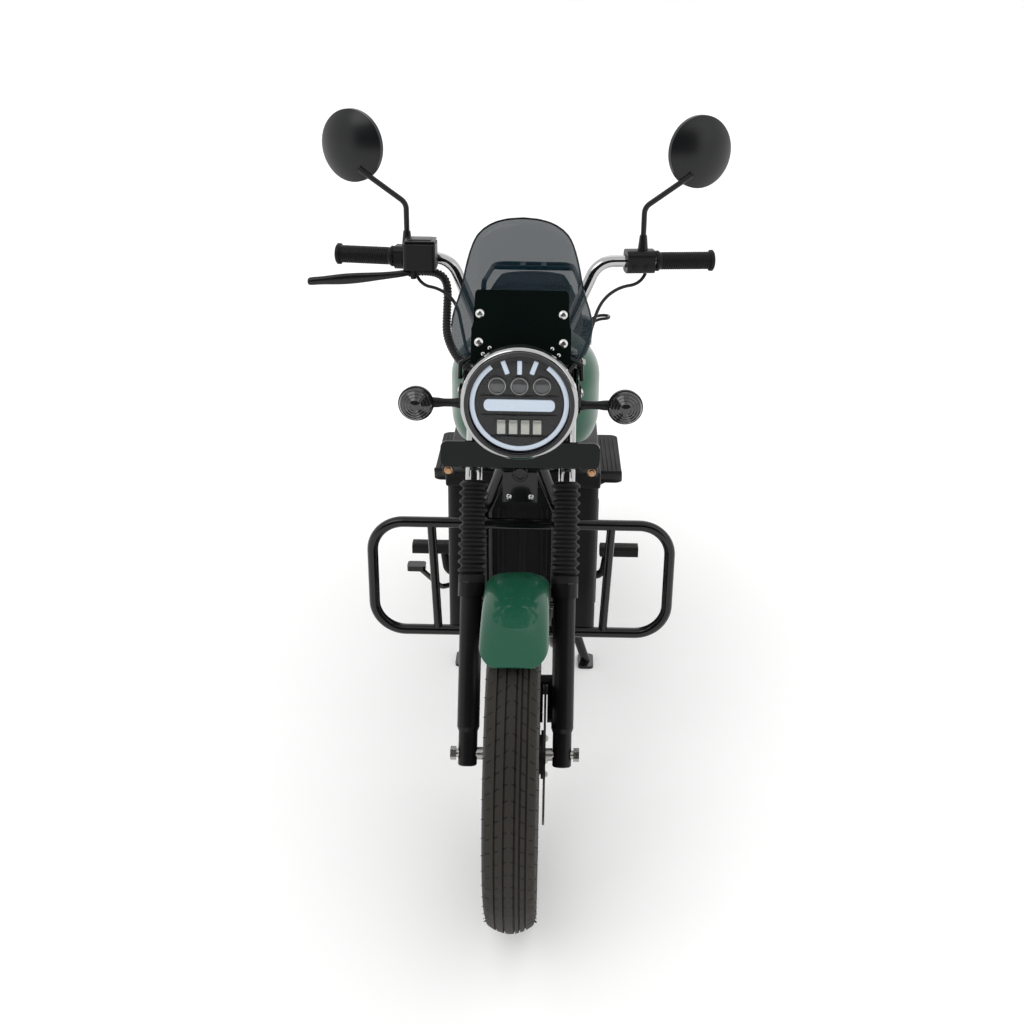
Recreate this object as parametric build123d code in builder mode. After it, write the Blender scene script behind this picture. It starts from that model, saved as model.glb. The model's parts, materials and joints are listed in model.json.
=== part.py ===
"""Electric motorcycle standing on its centre stand. Millimetres, +Z up, facing -Y.

The origin is on the floor, below the middle of the machine's length. Sizes along Y are given
as distances behind the front axle. "Left" is the rider's left, at +X."""

from build123d import *
from math import cos, radians, sin, sqrt, tan
import os

# Wheels
WHEELBASE = 1290
FRONT_TYRE_R = 297
FRONT_TYRE_W = 88
REAR_TYRE_R = 303
REAR_TYRE_W = 100
BEAD_R = 217
RIM_W = 62
RIM_WALL = 9
FRONT_HUB_R = 34
FRONT_HUB_W = 92
SPOKE_PAIRS = 5
AXLE_R = 7.5
REAR_LIFT = 25
MOTOR_R = 118
MOTOR_W = 118
MOTOR_RING_W = 54
MOTOR_RING_T = 8
SPOKE_T = 22

# Fork and steering
RAKE = 27
AXIS_OFFSET = 54
LEG_X = 83
STANCHION_R = 15.5
SLIDER_R = 19.7
SLIDER_STEP = 3
SLIDER_BOTTOM = -21
SLIDER_TOP = 300
GAITER_BOTTOM = 313
GAITER_TOP = 482
GAITER_R = 25.5
GAITER_CORE_R = 20
GAITER_RIBS = 11
CAP_R = 24
CAP_DROP = 25
LOWER_YOKE_S = 505
LOWER_YOKE_T = 32
UPPER_YOKE_S = 690
UPPER_YOKE_T = 20
YOKE_LUG_R = 25
YOKE_BAR = 30
HEAD_TUBE_R = 26
STEM_R = 12.5
HEAD_GAP = 5

# Brake
DISC_R = 120
DISC_T = 4
DISC_X = 52
CALIPER_S = 92
CALIPER_BACK = 54

# Headlight, front lamps and plate
LAMP_Z = 911
LAMP_FRONT_Y = 100
LAMP_R = 98
LAMP_DEPTH = 118
RIM_RING_W = 13
INDICATOR_X = 181
INDICATOR_Y = 200
INDICATOR_Z = LAMP_Z - 31
INDICATOR_R = 31
PLATE_W = 280
PLATE_H = 48
PLATE_Y = 190
PLATE_Z = LAMP_Z - 123

# Handlebar and controls
BAR_R = 11
BAR_Z = 948
BAR_Y = 372
CLAMP_X = 27
MASTER_Z = 1079
LEVER_DROP = 6
GRIP_R = 16.5
GRIP_END_X = 350
GRIP_IN_X = 240
GRIP_Z = 1087
GRIP_Y = 432
MIRROR_R = 63.5
MIRROR_X = 311
MIRROR_Z = 1284
MIRROR_Y = 415
MIRROR_YAW = 27
STEM_BASE_X = 215

# Screen
SCREEN_TOP_Z = 1187
SCREEN_TILT = 22
SCREEN_CURVE_R = 230
SCREEN_T = 3

# Frame, battery and body
TUBE_R = 14
RAIL_R = 12.5
RAIL_X = 95
RAIL_Z = 730
STAY_R = 11
CROSS_R = 10
SEAT_TUBES_Y = [WHEELBASE - 130, WHEELBASE + 10]
STAY_FOOT_X = 60
STAY_HEAD_Y = WHEELBASE - 140
SHOCK_X = 134
SHOCK_HEAD_Y = WHEELBASE - 170
SHOCK_HEAD_Z = RAIL_Z - 2
SHOCK_FOOT_Y = WHEELBASE - 75
SHOCK_FOOT_Z = 338
SHOCK_EYE_W = 18
SHOCK_STUD_R = 6
SHOCK_STUD_X = SHOCK_X + SHOCK_EYE_W / 2 + 3
SPRING_R = 25
CRADLE_X = 70
DOWN_TOP_Y = 372
DOWN_TOP_Z = 600
DOWN_FOOT_Y = 408
DOWN_BENDS = [60, 50]
BATTERY_W = 305
BATTERY_Y0 = 450
BATTERY_Y1 = BATTERY_Y0 + 328
BATTERY_Z0 = 284
BATTERY_Z1 = 650
TANK_W = 304
TANK_Y0 = 440
TANK_TOP = 154
TANK_CHANNEL_W = 66
SWINGARM_LENGTH = 418
PIVOT_Y = WHEELBASE - SWINGARM_LENGTH
TANK_Y1 = PIVOT_Y - 12
SPINE_R = 20
SPINE_TOP_Y = 600
SPINE_BEND_Y = PIVOT_Y - 50
SPINE_BEND_Z = RAIL_Z - 30
PIVOT_Z = 335
PIVOT_BOLT_R = 8
ARM_X = 88
ARM_T = 24
SEAT_GAP = 0.3

# Fenders, each angle from straight above the axle
FENDER_R = 320
FENDER_W = 112
FENDER_T = 2.5
FENDER_DROP = 24
FENDER_FRONT = 33
FENDER_BACK = 62
REAR_FENDER_R = 335
REAR_FENDER_W = 136
REAR_FENDER_T = 3
REAR_FENDER_DROP = 30
REAR_FENDER_Z = RAIL_Z - 332
REAR_FENDER_FRONT = 58
REAR_FENDER_BACK = 57

# Tail lamp
TAIL_Y = WHEELBASE + 262
TAIL_Z = RAIL_Z - 68

# Rear plate carrier and the two holes for a plate
REAR_PLATE_Y = TAIL_Y + 20
REAR_PLATE_Z = TAIL_Z - 100
REAR_PLATE_W = 180
REAR_PLATE_H = 116
REAR_HOLE_X = 100
REAR_HOLE_Z = REAR_PLATE_Z + 42
REAR_HOLE_R = 3.25

# Crash guard
GUARD_Y = 338
GUARD_W = 600
GUARD_Z0 = 352
GUARD_Z1 = 588
GUARD_R = 10.5
GUARD_CORNER = 62

# Luggage rack, foot rests
RACK_W = 208
RACK_Z = RAIL_Z + 120
RACK_Y0 = WHEELBASE - 70
RACK_BAR_R = 6.5
RACK_SLAT = 52
RACK_Y1 = WHEELBASE + 184
PEG_Y = PIVOT_Y - 122
PEG_Z = 336
PEG_END_X = 261
PEDAL_X = 236
PEDAL_Y = PEG_Y - 146
PEDAL_Z = 364
BOARD_Y0 = WHEELBASE - 290
BOARD_Y1 = WHEELBASE + 20
BOARD_Z = 412
BOARD_T = 12
BOARD_X = 202
BOARD_W = 66

# Stands
CENTRE_PIVOT_Y = PIVOT_Y - 54
CENTRE_PIVOT_Z = 232
CENTRE_TUBE_R = 10
CENTRE_TUBE_X = 88
CENTRE_EYE_R = 16
CENTRE_EYE_X = 74
CENTRE_EYE_W = 20
CENTRE_LEAN = 3
CENTRE_BRACE_DROP = 76
CENTRE_FOOT_X = 150
SIDE_PIVOT_X = 108
SIDE_PIVOT_Y = CENTRE_PIVOT_Y - 128
SIDE_PIVOT_Z = 236
SIDE_LENGTH = 247
SIDE_EYE_T = 12
SIDE_EYE_R = 14
SIDE_TUBE_R = 9
SIDE_BOLT_R = 5
SIDE_BOLT = (0.87, 0, 0.42)

FRONT_Y = (FRONT_TYRE_R - WHEELBASE - REAR_TYRE_R) / 2
REAR_Y = FRONT_Y + WHEELBASE
FRONT_Z = FRONT_TYRE_R
REAR_Z = REAR_TYRE_R + REAR_LIFT
CALIPER_Y = CALIPER_S * sin(radians(RAKE)) + CALIPER_BACK * cos(radians(RAKE))
CALIPER_Z = CALIPER_S * cos(radians(RAKE)) - CALIPER_BACK * sin(radians(RAKE))
EAR_X = LEG_X + STANCHION_R + SEAT_GAP
EAR_T = 4
CRADLE_Z = BATTERY_Z0 - TUBE_R - SEAT_GAP
STEER_TOP = UPPER_YOKE_S - HEAD_GAP
STEER_LOW = LOWER_YOKE_S + LOWER_YOKE_T + HEAD_GAP
os.makedirs("parts", exist_ok=True)


def at(x, behind, z):
    """A point given by its distance behind the front axle."""
    return (x, FRONT_Y + behind, z)


def fork_point(x, along, back=0):
    """A point by its distance up the fork legs and behind them."""
    tilt = radians(RAKE)
    y = along * sin(tilt) + back * cos(tilt)
    z = along * cos(tilt) - back * sin(tilt)
    return (x, FRONT_Y + y, FRONT_Z + z)


def fork_plane(along):
    """The plane square to the fork legs, this far above the front axle."""
    tilt = radians(RAKE)
    return Plane(origin=fork_point(0, along), x_dir=(1, 0, 0), z_dir=(0, sin(tilt), cos(tilt)))


def leg_plane(side):
    """The plane that holds a fork leg's centre line, with its Y up the leg."""
    tilt = radians(RAKE)
    return Plane(origin=fork_point(side * LEG_X, 0), x_dir=(1, 0, 0), z_dir=(0, -cos(tilt), sin(tilt)))


def wheel_plane(axle_y, axle_z):
    """The plane through a wheel's axle with X along the axle and Y straight up."""
    return Plane(origin=(0, axle_y, axle_z), x_dir=(1, 0, 0), z_dir=(0, -1, 0))


def stay_point(side, share):
    """A point on a rear stay, from its foot at the swingarm pivot to its head on the seat rail."""
    return at(
        side * (STAY_FOOT_X + share * (RAIL_X - STAY_FOOT_X)),
        PIVOT_Y + 6 + share * (STAY_HEAD_Y - PIVOT_Y - 6),
        PIVOT_Z + share * (RAIL_Z + 4 - PIVOT_Z),
    )


def spoke_plane(axle_y, axle_z, turn):
    """The inner face of a spoke, with X along the spoke, away from the axle."""
    angle = radians(turn)
    return Plane(
        origin=(-SPOKE_T / 2, axle_y, axle_z), x_dir=(0, cos(angle), sin(angle)), z_dir=(1, 0, 0)
    )


def rod(points, radii, radius, mode=Mode.ADD):
    """A round bar along straight runs joined by arcs, added to the part or cut from it."""
    with BuildLine() as route:
        if len(points) == 2:
            Line(*points)
        else:
            FilletPolyline(*points, radius=radii)
    with BuildSketch(Plane(origin=route.line @ 0, z_dir=route.line % 0)) as section:
        Circle(radius)
    sweep(sections=section.sketch, path=route.line, mode=mode)


def save(builder, name):
    """Names a finished piece and writes its file."""
    builder.part.label = name
    export_step(builder.part, f"parts/{name}.step")


def stand_plane(outwards):
    """The plane that the side stand swings in, moved outwards along its bolt."""
    out = Vector(SIDE_BOLT[0], SIDE_BOLT[1], SIDE_BOLT[2]).normalized()
    centre = Vector(*at(SIDE_PIVOT_X, SIDE_PIVOT_Y, SIDE_PIVOT_Z)) + out * outwards
    return Plane(origin=centre, x_dir=(0, 1, 0), z_dir=out)


def tyre(name, radius, width, axle_y, axle_z):
    """A tyre with its beads, flanks and a rounded crown, revolved about its axle."""
    half = width / 2
    flank_r = (radius + BEAD_R) / 2 + 6
    shoulder_x = 0.8 * half
    shoulder_r = radius - 0.17 * half - 4
    bead_x = RIM_W / 2 - RIM_WALL / 2
    with BuildPart() as piece:
        with BuildSketch(wheel_plane(axle_y, axle_z)):
            with BuildLine():
                Line((-bead_x, BEAD_R), (bead_x, BEAD_R))
                Line((bead_x, BEAD_R), (half, flank_r))
                Line((half, flank_r), (shoulder_x, shoulder_r))
                ThreePointArc((shoulder_x, shoulder_r), (0, radius), (-shoulder_x, shoulder_r))
                Line((-shoulder_x, shoulder_r), (-half, flank_r))
                Line((-half, flank_r), (-bead_x, BEAD_R))
            make_face()
        revolve(axis=Axis((0, axle_y, axle_z), (1, 0, 0)))
    save(piece, name)


def rim_profile():
    """Half of a well-base rim's section, drawn for a wheel plane."""
    seat = BEAD_R - SEAT_GAP
    half = RIM_W / 2 - RIM_WALL / 2 - SEAT_GAP
    well = seat - 14
    with BuildLine() as outline:
        Polyline(
            (-half, seat),
            (-half + 10, seat),
            (-half + 16, well),
            (half - 16, well),
            (half - 10, seat),
            (half, seat),
            (half, seat - 7),
            (half - 8, well - RIM_WALL),
            (-half + 8, well - RIM_WALL),
            (-half, seat - 7),
            close=True,
        )
    make_face(outline.edges())


def tilted_wheel_plane(axle_y, axle_z, ahead):
    """A wheel plane leant forward by this angle, so that its Y is a radius."""
    lean = radians(ahead)
    return Plane(
        origin=(0, axle_y, axle_z), x_dir=(1, 0, 0), z_dir=(0, -cos(lean), -sin(lean))
    )


def fender_profile(crown, width, wall, drop):
    """The domed section of a fender, drawn for a wheel plane."""
    half = width / 2
    edge = crown - drop
    with BuildLine() as outline:
        ThreePointArc((-half, edge), (0, crown), (half, edge))
        Line((half, edge), (half - wall, edge))
        ThreePointArc((half - wall, edge), (0, crown - wall), (wall - half, edge))
        Line((wall - half, edge), (-half, edge))
    make_face(outline.edges())


# Front wheel: tyre, cast rim and brake disc
tyre("front_tyre", FRONT_TYRE_R, FRONT_TYRE_W, FRONT_Y, FRONT_Z)

front_axle_line = Axis((0, FRONT_Y, FRONT_Z), (1, 0, 0))
spoke_end_r = BEAD_R - 14 - RIM_WALL
with BuildPart() as front_rim:
    with BuildSketch(wheel_plane(FRONT_Y, FRONT_Z)):
        rim_profile()
    revolve(axis=front_axle_line)
    with BuildSketch(Plane.YZ.offset(-FRONT_HUB_W / 2)):
        with Locations((FRONT_Y, FRONT_Z)):
            Circle(FRONT_HUB_R)
    extrude(amount=FRONT_HUB_W)
    for pair in range(SPOKE_PAIRS):
        turn = 90 + pair * 360 / SPOKE_PAIRS
        for side in (-1, 1):
            with BuildSketch(spoke_plane(FRONT_Y, FRONT_Z, turn + side * 13)):
                with BuildLine():
                    Polyline(
                        (FRONT_HUB_R - 8, -10),
                        (spoke_end_r + 4, -7),
                        (spoke_end_r + 4, 7),
                        (FRONT_HUB_R - 8, 10),
                        close=True,
                    )
                make_face()
            extrude(amount=SPOKE_T)
    with BuildSketch(Plane.YZ.offset(-FRONT_HUB_W / 2)):
        with Locations((FRONT_Y, FRONT_Z)):
            Circle(AXLE_R + 0.05)
    extrude(amount=FRONT_HUB_W, mode=Mode.SUBTRACT)
    with BuildSketch(Plane.YZ.offset(FRONT_HUB_W / 2)):
        with Locations((FRONT_Y, FRONT_Z)):
            Circle(FRONT_HUB_R + 8)
            Circle(AXLE_R + 0.05, mode=Mode.SUBTRACT)
    extrude(amount=DISC_X - DISC_T / 2 - FRONT_HUB_W / 2)
save(front_rim, "front_rim")

with BuildPart() as brake_disc:
    with BuildSketch(Plane.YZ.offset(DISC_X - DISC_T / 2)):
        with Locations((FRONT_Y, FRONT_Z)):
            Circle(DISC_R)
            Circle(AXLE_R + 12, mode=Mode.SUBTRACT)
            with PolarLocations(68, 5):
                SlotOverall(34, 22, rotation=90, mode=Mode.SUBTRACT)
            with PolarLocations(DISC_R - 14, 20):
                Circle(4, mode=Mode.SUBTRACT)
    extrude(amount=DISC_T)
save(brake_disc, "brake_disc")

# Rear wheel: tyre, rim with the hub motor
tyre("rear_tyre", REAR_TYRE_R, REAR_TYRE_W, REAR_Y, REAR_Z)

with BuildPart() as rear_rim:
    with BuildSketch(wheel_plane(REAR_Y, REAR_Z)):
        rim_profile()
    revolve(axis=Axis((0, REAR_Y, REAR_Z), (1, 0, 0)))
    for pair in range(SPOKE_PAIRS):
        turn = 90 + pair * 360 / SPOKE_PAIRS
        for side in (-1, 1):
            with BuildSketch(spoke_plane(REAR_Y, REAR_Z, turn + side * 16)):
                with Locations(((MOTOR_R + spoke_end_r) / 2, 0)):
                    Rectangle(spoke_end_r - MOTOR_R + 10, 17)
            extrude(amount=SPOKE_T)
    with BuildSketch(Plane.YZ.offset(-MOTOR_RING_W / 2)):
        with Locations((REAR_Y, REAR_Z)):
            Circle(MOTOR_R)
            Circle(MOTOR_R - MOTOR_RING_T, mode=Mode.SUBTRACT)
    extrude(amount=MOTOR_RING_W)
save(rear_rim, "rear_rim")

with BuildPart() as hub_motor:
    with BuildSketch(wheel_plane(REAR_Y, REAR_Z)):
        with BuildLine():
            Polyline(
                (-MOTOR_W / 2, AXLE_R + 0.05),
                (MOTOR_W / 2, AXLE_R + 0.05),
                (MOTOR_W / 2, 30),
                (MOTOR_W / 2 - 14, MOTOR_R - 30),
                (MOTOR_W / 2 - 22, MOTOR_R - MOTOR_RING_T - SEAT_GAP),
                (-MOTOR_W / 2 + 22, MOTOR_R - MOTOR_RING_T - SEAT_GAP),
                (-MOTOR_W / 2 + 14, MOTOR_R - 30),
                (-MOTOR_W / 2, 30),
                close=True,
            )
        make_face()
    revolve(axis=Axis((0, REAR_Y, REAR_Z), (1, 0, 0)))
save(hub_motor, "hub_motor")

# Fork
with BuildPart() as fork_sliders:
    for side in (-1, 1):
        with BuildSketch(leg_plane(side)):
            with BuildLine():
                Polyline(
                    (0, SLIDER_BOTTOM),
                    (SLIDER_R - SLIDER_STEP - 2, SLIDER_BOTTOM),
                    (SLIDER_R - SLIDER_STEP, SLIDER_BOTTOM + 2),
                    (SLIDER_R - SLIDER_STEP, 38),
                    (SLIDER_R, 46),
                    (SLIDER_R, SLIDER_TOP),
                    (STANCHION_R + SEAT_GAP, SLIDER_TOP),
                    (STANCHION_R + SEAT_GAP, 120),
                    (0, 120),
                    close=True,
                )
            make_face()
        revolve(axis=Axis(fork_point(side * LEG_X, 0), fork_plane(0).z_dir))
    with BuildSketch(Plane.YZ.offset(-LEG_X - SLIDER_R)):
        with Locations((FRONT_Y, FRONT_Z)):
            Circle(AXLE_R + SEAT_GAP)
    extrude(amount=2 * LEG_X + 2 * SLIDER_R, mode=Mode.SUBTRACT)
save(fork_sliders, "fork_sliders")

with BuildPart() as fork_tubes:
    for side in (-1, 1):
        with BuildSketch(fork_plane(120 + SEAT_GAP)):
            with Locations((side * LEG_X, 0)):
                Circle(STANCHION_R)
        extrude(amount=UPPER_YOKE_S + UPPER_YOKE_T + 8 - 120)
save(fork_tubes, "fork_tubes")

with BuildPart() as fork_gaiters:
    pitch = (GAITER_TOP - GAITER_BOTTOM) / GAITER_RIBS
    inner = STANCHION_R + SEAT_GAP
    for side in (-1, 1):
        with BuildSketch(leg_plane(side)):
            with BuildLine():
                outer = [(CAP_R, SLIDER_TOP + SEAT_GAP), (CAP_R, GAITER_BOTTOM)]
                for rib in range(GAITER_RIBS):
                    foot = GAITER_BOTTOM + rib * pitch
                    outer.append((GAITER_CORE_R, foot + 0.16 * pitch))
                    outer.append((GAITER_R, foot + 0.42 * pitch))
                    outer.append((GAITER_R, foot + 0.64 * pitch))
                    outer.append((GAITER_CORE_R, foot + 0.9 * pitch))
                outer.append((GAITER_CORE_R, GAITER_TOP))
                Polyline(
                    (inner, SLIDER_TOP + SEAT_GAP),
                    *outer,
                    (inner, GAITER_TOP),
                    close=True,
                )
            make_face()
        revolve(axis=Axis(fork_point(side * LEG_X, 0), fork_plane(0).z_dir))
save(fork_gaiters, "fork_gaiters")

with BuildPart() as fork_caps:
    for side in (-1, 1):
        with BuildSketch(fork_plane(SLIDER_TOP - CAP_DROP)):
            with Locations((side * LEG_X, 0)):
                Circle(CAP_R)
                Circle(SLIDER_R + SEAT_GAP, mode=Mode.SUBTRACT)
        extrude(amount=CAP_DROP)
save(fork_caps, "fork_caps")

with BuildPart() as lower_yoke:
    with BuildSketch(fork_plane(LOWER_YOKE_S)):
        with Locations((-LEG_X, 0), (LEG_X, 0)):
            Circle(YOKE_LUG_R)
        Rectangle(2 * LEG_X, YOKE_BAR)
        with Locations((0, AXIS_OFFSET / 2)):
            Rectangle(70, AXIS_OFFSET)
        with Locations((0, AXIS_OFFSET)):
            Circle(HEAD_TUBE_R)
        with Locations((-LEG_X, 0), (LEG_X, 0)):
            Circle(STANCHION_R + SEAT_GAP, mode=Mode.SUBTRACT)
    extrude(amount=LOWER_YOKE_T)
    with BuildSketch(fork_plane(LOWER_YOKE_S + LOWER_YOKE_T)):
        with Locations((0, AXIS_OFFSET)):
            Circle(STEM_R)
    extrude(amount=UPPER_YOKE_S - LOWER_YOKE_S - LOWER_YOKE_T + UPPER_YOKE_T + 6)
save(lower_yoke, "lower_yoke")

with BuildPart() as upper_yoke:
    with BuildSketch(fork_plane(UPPER_YOKE_S)):
        with Locations((-LEG_X, 0), (LEG_X, 0)):
            Circle(YOKE_LUG_R)
        Rectangle(2 * LEG_X, YOKE_BAR)
        with Locations((0, AXIS_OFFSET / 2)):
            Rectangle(90, AXIS_OFFSET)
        with Locations((0, AXIS_OFFSET)):
            Circle(HEAD_TUBE_R + 2)
        with Locations((-LEG_X, 0), (LEG_X, 0)):
            Circle(STANCHION_R + SEAT_GAP, mode=Mode.SUBTRACT)
        with Locations((0, AXIS_OFFSET)):
            Circle(STEM_R + SEAT_GAP, mode=Mode.SUBTRACT)
    extrude(amount=UPPER_YOKE_T)
    for side in (-1, 1):
        foot = fork_point(side * CLAMP_X, UPPER_YOKE_S + UPPER_YOKE_T - 4, AXIS_OFFSET - 8)
        clamp_low = foot[2]
        with BuildSketch(Plane.XY.offset(clamp_low)):
            with Locations((side * CLAMP_X, FRONT_Y + BAR_Y)):
                Rectangle(22, 36)
        extrude(amount=BAR_Z + BAR_R + 7 - clamp_low)
    with BuildSketch(Plane.YZ.offset(-60)):
        with Locations((FRONT_Y + BAR_Y, BAR_Z)):
            Circle(BAR_R + SEAT_GAP)
    extrude(amount=120, mode=Mode.SUBTRACT)
save(upper_yoke, "upper_yoke")

with BuildPart() as front_axle:
    with BuildSketch(Plane.YZ.offset(-LEG_X - SLIDER_R - 2)):
        with Locations((FRONT_Y, FRONT_Z)):
            Circle(AXLE_R)
    extrude(amount=2 * (LEG_X + SLIDER_R + 2))
    for side in (-1, 1):
        start = side * (LEG_X + SLIDER_R + 0.5)
        with BuildSketch(Plane.YZ.offset(start)):
            with Locations((FRONT_Y, FRONT_Z)):
                RegularPolygon(12, 6)
        extrude(amount=side * 10)
save(front_axle, "front_axle")

with BuildPart() as axle_spacers:
    for side, start in ((-1, -FRONT_HUB_W / 2), (1, DISC_X + DISC_T / 2)):
        end = side * (LEG_X - SLIDER_R + SLIDER_STEP - SEAT_GAP)
        with BuildSketch(Plane.YZ.offset(start + side * SEAT_GAP)):
            with Locations((FRONT_Y, FRONT_Z)):
                Circle(11)
                Circle(AXLE_R + SEAT_GAP, mode=Mode.SUBTRACT)
        extrude(amount=end - start - side * SEAT_GAP)
save(axle_spacers, "axle_spacers")

# Front brake caliper on the left leg
with BuildPart() as brake_caliper:
    body_centre = (FRONT_Y + CALIPER_Y, FRONT_Z + CALIPER_Z)
    with BuildSketch(Plane.YZ.offset(DISC_X - 18)):
        with Locations(body_centre):
            RectangleRounded(44, 84, 12, rotation=-RAKE)
    extrude(amount=36)
    with BuildSketch(Plane.YZ.offset(DISC_X - DISC_T / 2 - 2)):
        with Locations((FRONT_Y, FRONT_Z)):
            Circle(DISC_R + 3)
    extrude(amount=DISC_T + 4, mode=Mode.SUBTRACT)
    for along in (CALIPER_S - 24, CALIPER_S + 24):
        lug = Plane(origin=fork_point(0, along - 8), x_dir=(1, 0, 0), z_dir=fork_plane(0).z_dir)
        with BuildSketch(lug):
            with Locations((DISC_X + 22, SLIDER_R + SEAT_GAP + 9)):
                Rectangle(32, 18)
        extrude(amount=16)
save(brake_caliper, "brake_caliper")

# Front fender
with BuildPart() as front_fender:
    with BuildSketch(tilted_wheel_plane(FRONT_Y, FRONT_Z, FENDER_FRONT)):
        fender_profile(FENDER_R, FENDER_W, FENDER_T, FENDER_DROP)
    revolve(axis=front_axle_line, revolution_arc=-(FENDER_FRONT + FENDER_BACK))
    for side in (-1, 1):
        edge_s = FENDER_R - FENDER_DROP
        with BuildSketch(Plane.YZ.offset(side * (FENDER_W / 2 - 4))):
            with Locations(fork_point(0, edge_s - 25)[1:]):
                RectangleRounded(36, 56, 10, rotation=-RAKE)
        extrude(amount=side * 4)
        with BuildSketch(Plane.YZ.offset(side * (FENDER_W / 2 - 2))):
            with Locations(fork_point(0, SLIDER_TOP - CAP_DROP - 13)[1:]):
                Circle(10)
        extrude(amount=side * (LEG_X - SLIDER_R - SEAT_GAP - FENDER_W / 2 + 2))
save(front_fender, "front_fender")

# Headlight: bowl, chrome rim and the light unit behind its cover
lamp_axis = Axis(at(0, 0, LAMP_Z), (0, 1, 0))
lamp_plane = Plane(origin=at(0, LAMP_FRONT_Y, LAMP_Z), x_dir=(1, 0, 0), z_dir=(0, 0, 1))
with BuildPart() as headlight_bowl:
    with BuildSketch(lamp_plane):
        with BuildLine():
            Line((0, LAMP_DEPTH), (34, LAMP_DEPTH))
            ThreePointArc((34, LAMP_DEPTH), (76, LAMP_DEPTH - 34), (LAMP_R - 6, 26))
            Line((LAMP_R - 6, 26), (LAMP_R - 6, 16))
            Line((LAMP_R - 6, 16), (0, 16))
            Line((0, 16), (0, LAMP_DEPTH))
        make_face()
    revolve(axis=lamp_axis)
save(headlight_bowl, "headlight_bowl")

with BuildPart() as headlight_rim:
    with BuildSketch(lamp_plane):
        with BuildLine():
            Line((LAMP_R - RIM_RING_W, 0), (LAMP_R - 6, 0))
            ThreePointArc((LAMP_R - 6, 0), (LAMP_R - 1.5, 3), (LAMP_R, 9))
            Line((LAMP_R, 9), (LAMP_R, 22))
            Line((LAMP_R, 22), (LAMP_R - 6 + SEAT_GAP, 22))
            Line((LAMP_R - 6 + SEAT_GAP, 22), (LAMP_R - 6 + SEAT_GAP, 8))
            Line((LAMP_R - 6 + SEAT_GAP, 8), (LAMP_R - RIM_RING_W, 3))
            Line((LAMP_R - RIM_RING_W, 3), (LAMP_R - RIM_RING_W, 0))
        make_face()
    revolve(axis=lamp_axis)
save(headlight_rim, "headlight_rim")

with BuildPart() as headlight_unit:
    with BuildSketch(Plane.XZ.offset(-(FRONT_Y + LAMP_FRONT_Y + 4))):
        with Locations((0, LAMP_Z)):
            Circle(LAMP_R - RIM_RING_W - SEAT_GAP)
    extrude(amount=-(12 - SEAT_GAP))
save(headlight_unit, "headlight_unit")

# Ears that carry the headlight, the indicators and the plate bar
with BuildPart() as headlight_brackets:
    for side in (-1, 1):
        with BuildSketch(Plane.YZ.offset(side * EAR_X)):
            with BuildLine():
                Polyline(
                    at(0, 140, LAMP_Z + 14)[1:],
                    at(0, 300, LAMP_Z + 6)[1:],
                    at(0, 330, LAMP_Z - 10)[1:],
                    at(0, 290, LAMP_Z - 70)[1:],
                    at(0, 200, INDICATOR_Z - 16)[1:],
                    at(0, 140, LAMP_Z - 14)[1:],
                    close=True,
                )
            make_face()
        extrude(amount=side * EAR_T)
        with BuildSketch(Plane.YZ.offset(side * (LAMP_R - 16))):
            with Locations((FRONT_Y + 152, LAMP_Z)):
                Circle(9)
        extrude(amount=side * (EAR_X - LAMP_R + 16))
    with BuildSketch(lamp_plane):
        with BuildLine():
            Line((0, LAMP_DEPTH + SEAT_GAP), (34, LAMP_DEPTH + SEAT_GAP))
            ThreePointArc(
                (34, LAMP_DEPTH + SEAT_GAP),
                (76 + SEAT_GAP, LAMP_DEPTH - 34 + SEAT_GAP),
                (LAMP_R - 6 + SEAT_GAP, 26),
            )
            Line((LAMP_R - 6 + SEAT_GAP, 26), (LAMP_R - 6 + SEAT_GAP, 0))
            Line((LAMP_R - 6 + SEAT_GAP, 0), (0, 0))
            Line((0, 0), (0, LAMP_DEPTH + SEAT_GAP))
        make_face()
    revolve(axis=lamp_axis, mode=Mode.SUBTRACT)
save(headlight_brackets, "headlight_brackets")

with BuildPart() as front_indicators:
    for side in (-1, 1):
        with BuildSketch(Plane.XZ.offset(-(FRONT_Y + INDICATOR_Y - 24))):
            with Locations((side * INDICATOR_X, INDICATOR_Z)):
                Circle(INDICATOR_R)
        extrude(amount=-36)
        with BuildSketch(Plane.YZ.offset(side * (EAR_X + EAR_T + SEAT_GAP))):
            with Locations((FRONT_Y + INDICATOR_Y, INDICATOR_Z)):
                Circle(8)
        extrude(amount=side * (INDICATOR_X - INDICATOR_R - EAR_X - EAR_T + 4))
save(front_indicators, "front_indicators")

with BuildPart() as number_plate:
    with BuildSketch(Plane.XZ.offset(-(FRONT_Y + PLATE_Y))):
        with Locations((0, PLATE_Z)):
            RectangleRounded(PLATE_W, PLATE_H, 12)
    extrude(amount=-6)
    with BuildSketch(Plane.XZ.offset(-(FRONT_Y + PLATE_Y + 3))):
        with Locations((-34, PLATE_Z - 17), (34, PLATE_Z - 17)):
            Circle(6)
    extrude(amount=-50)
    with BuildSketch(fork_plane(LOWER_YOKE_S - 20)):
        with Locations((0, 50 - YOKE_BAR / 2 - SEAT_GAP)):
            Rectangle(200, 100)
    extrude(amount=80, mode=Mode.SUBTRACT)
save(number_plate, "number_plate")

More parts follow.
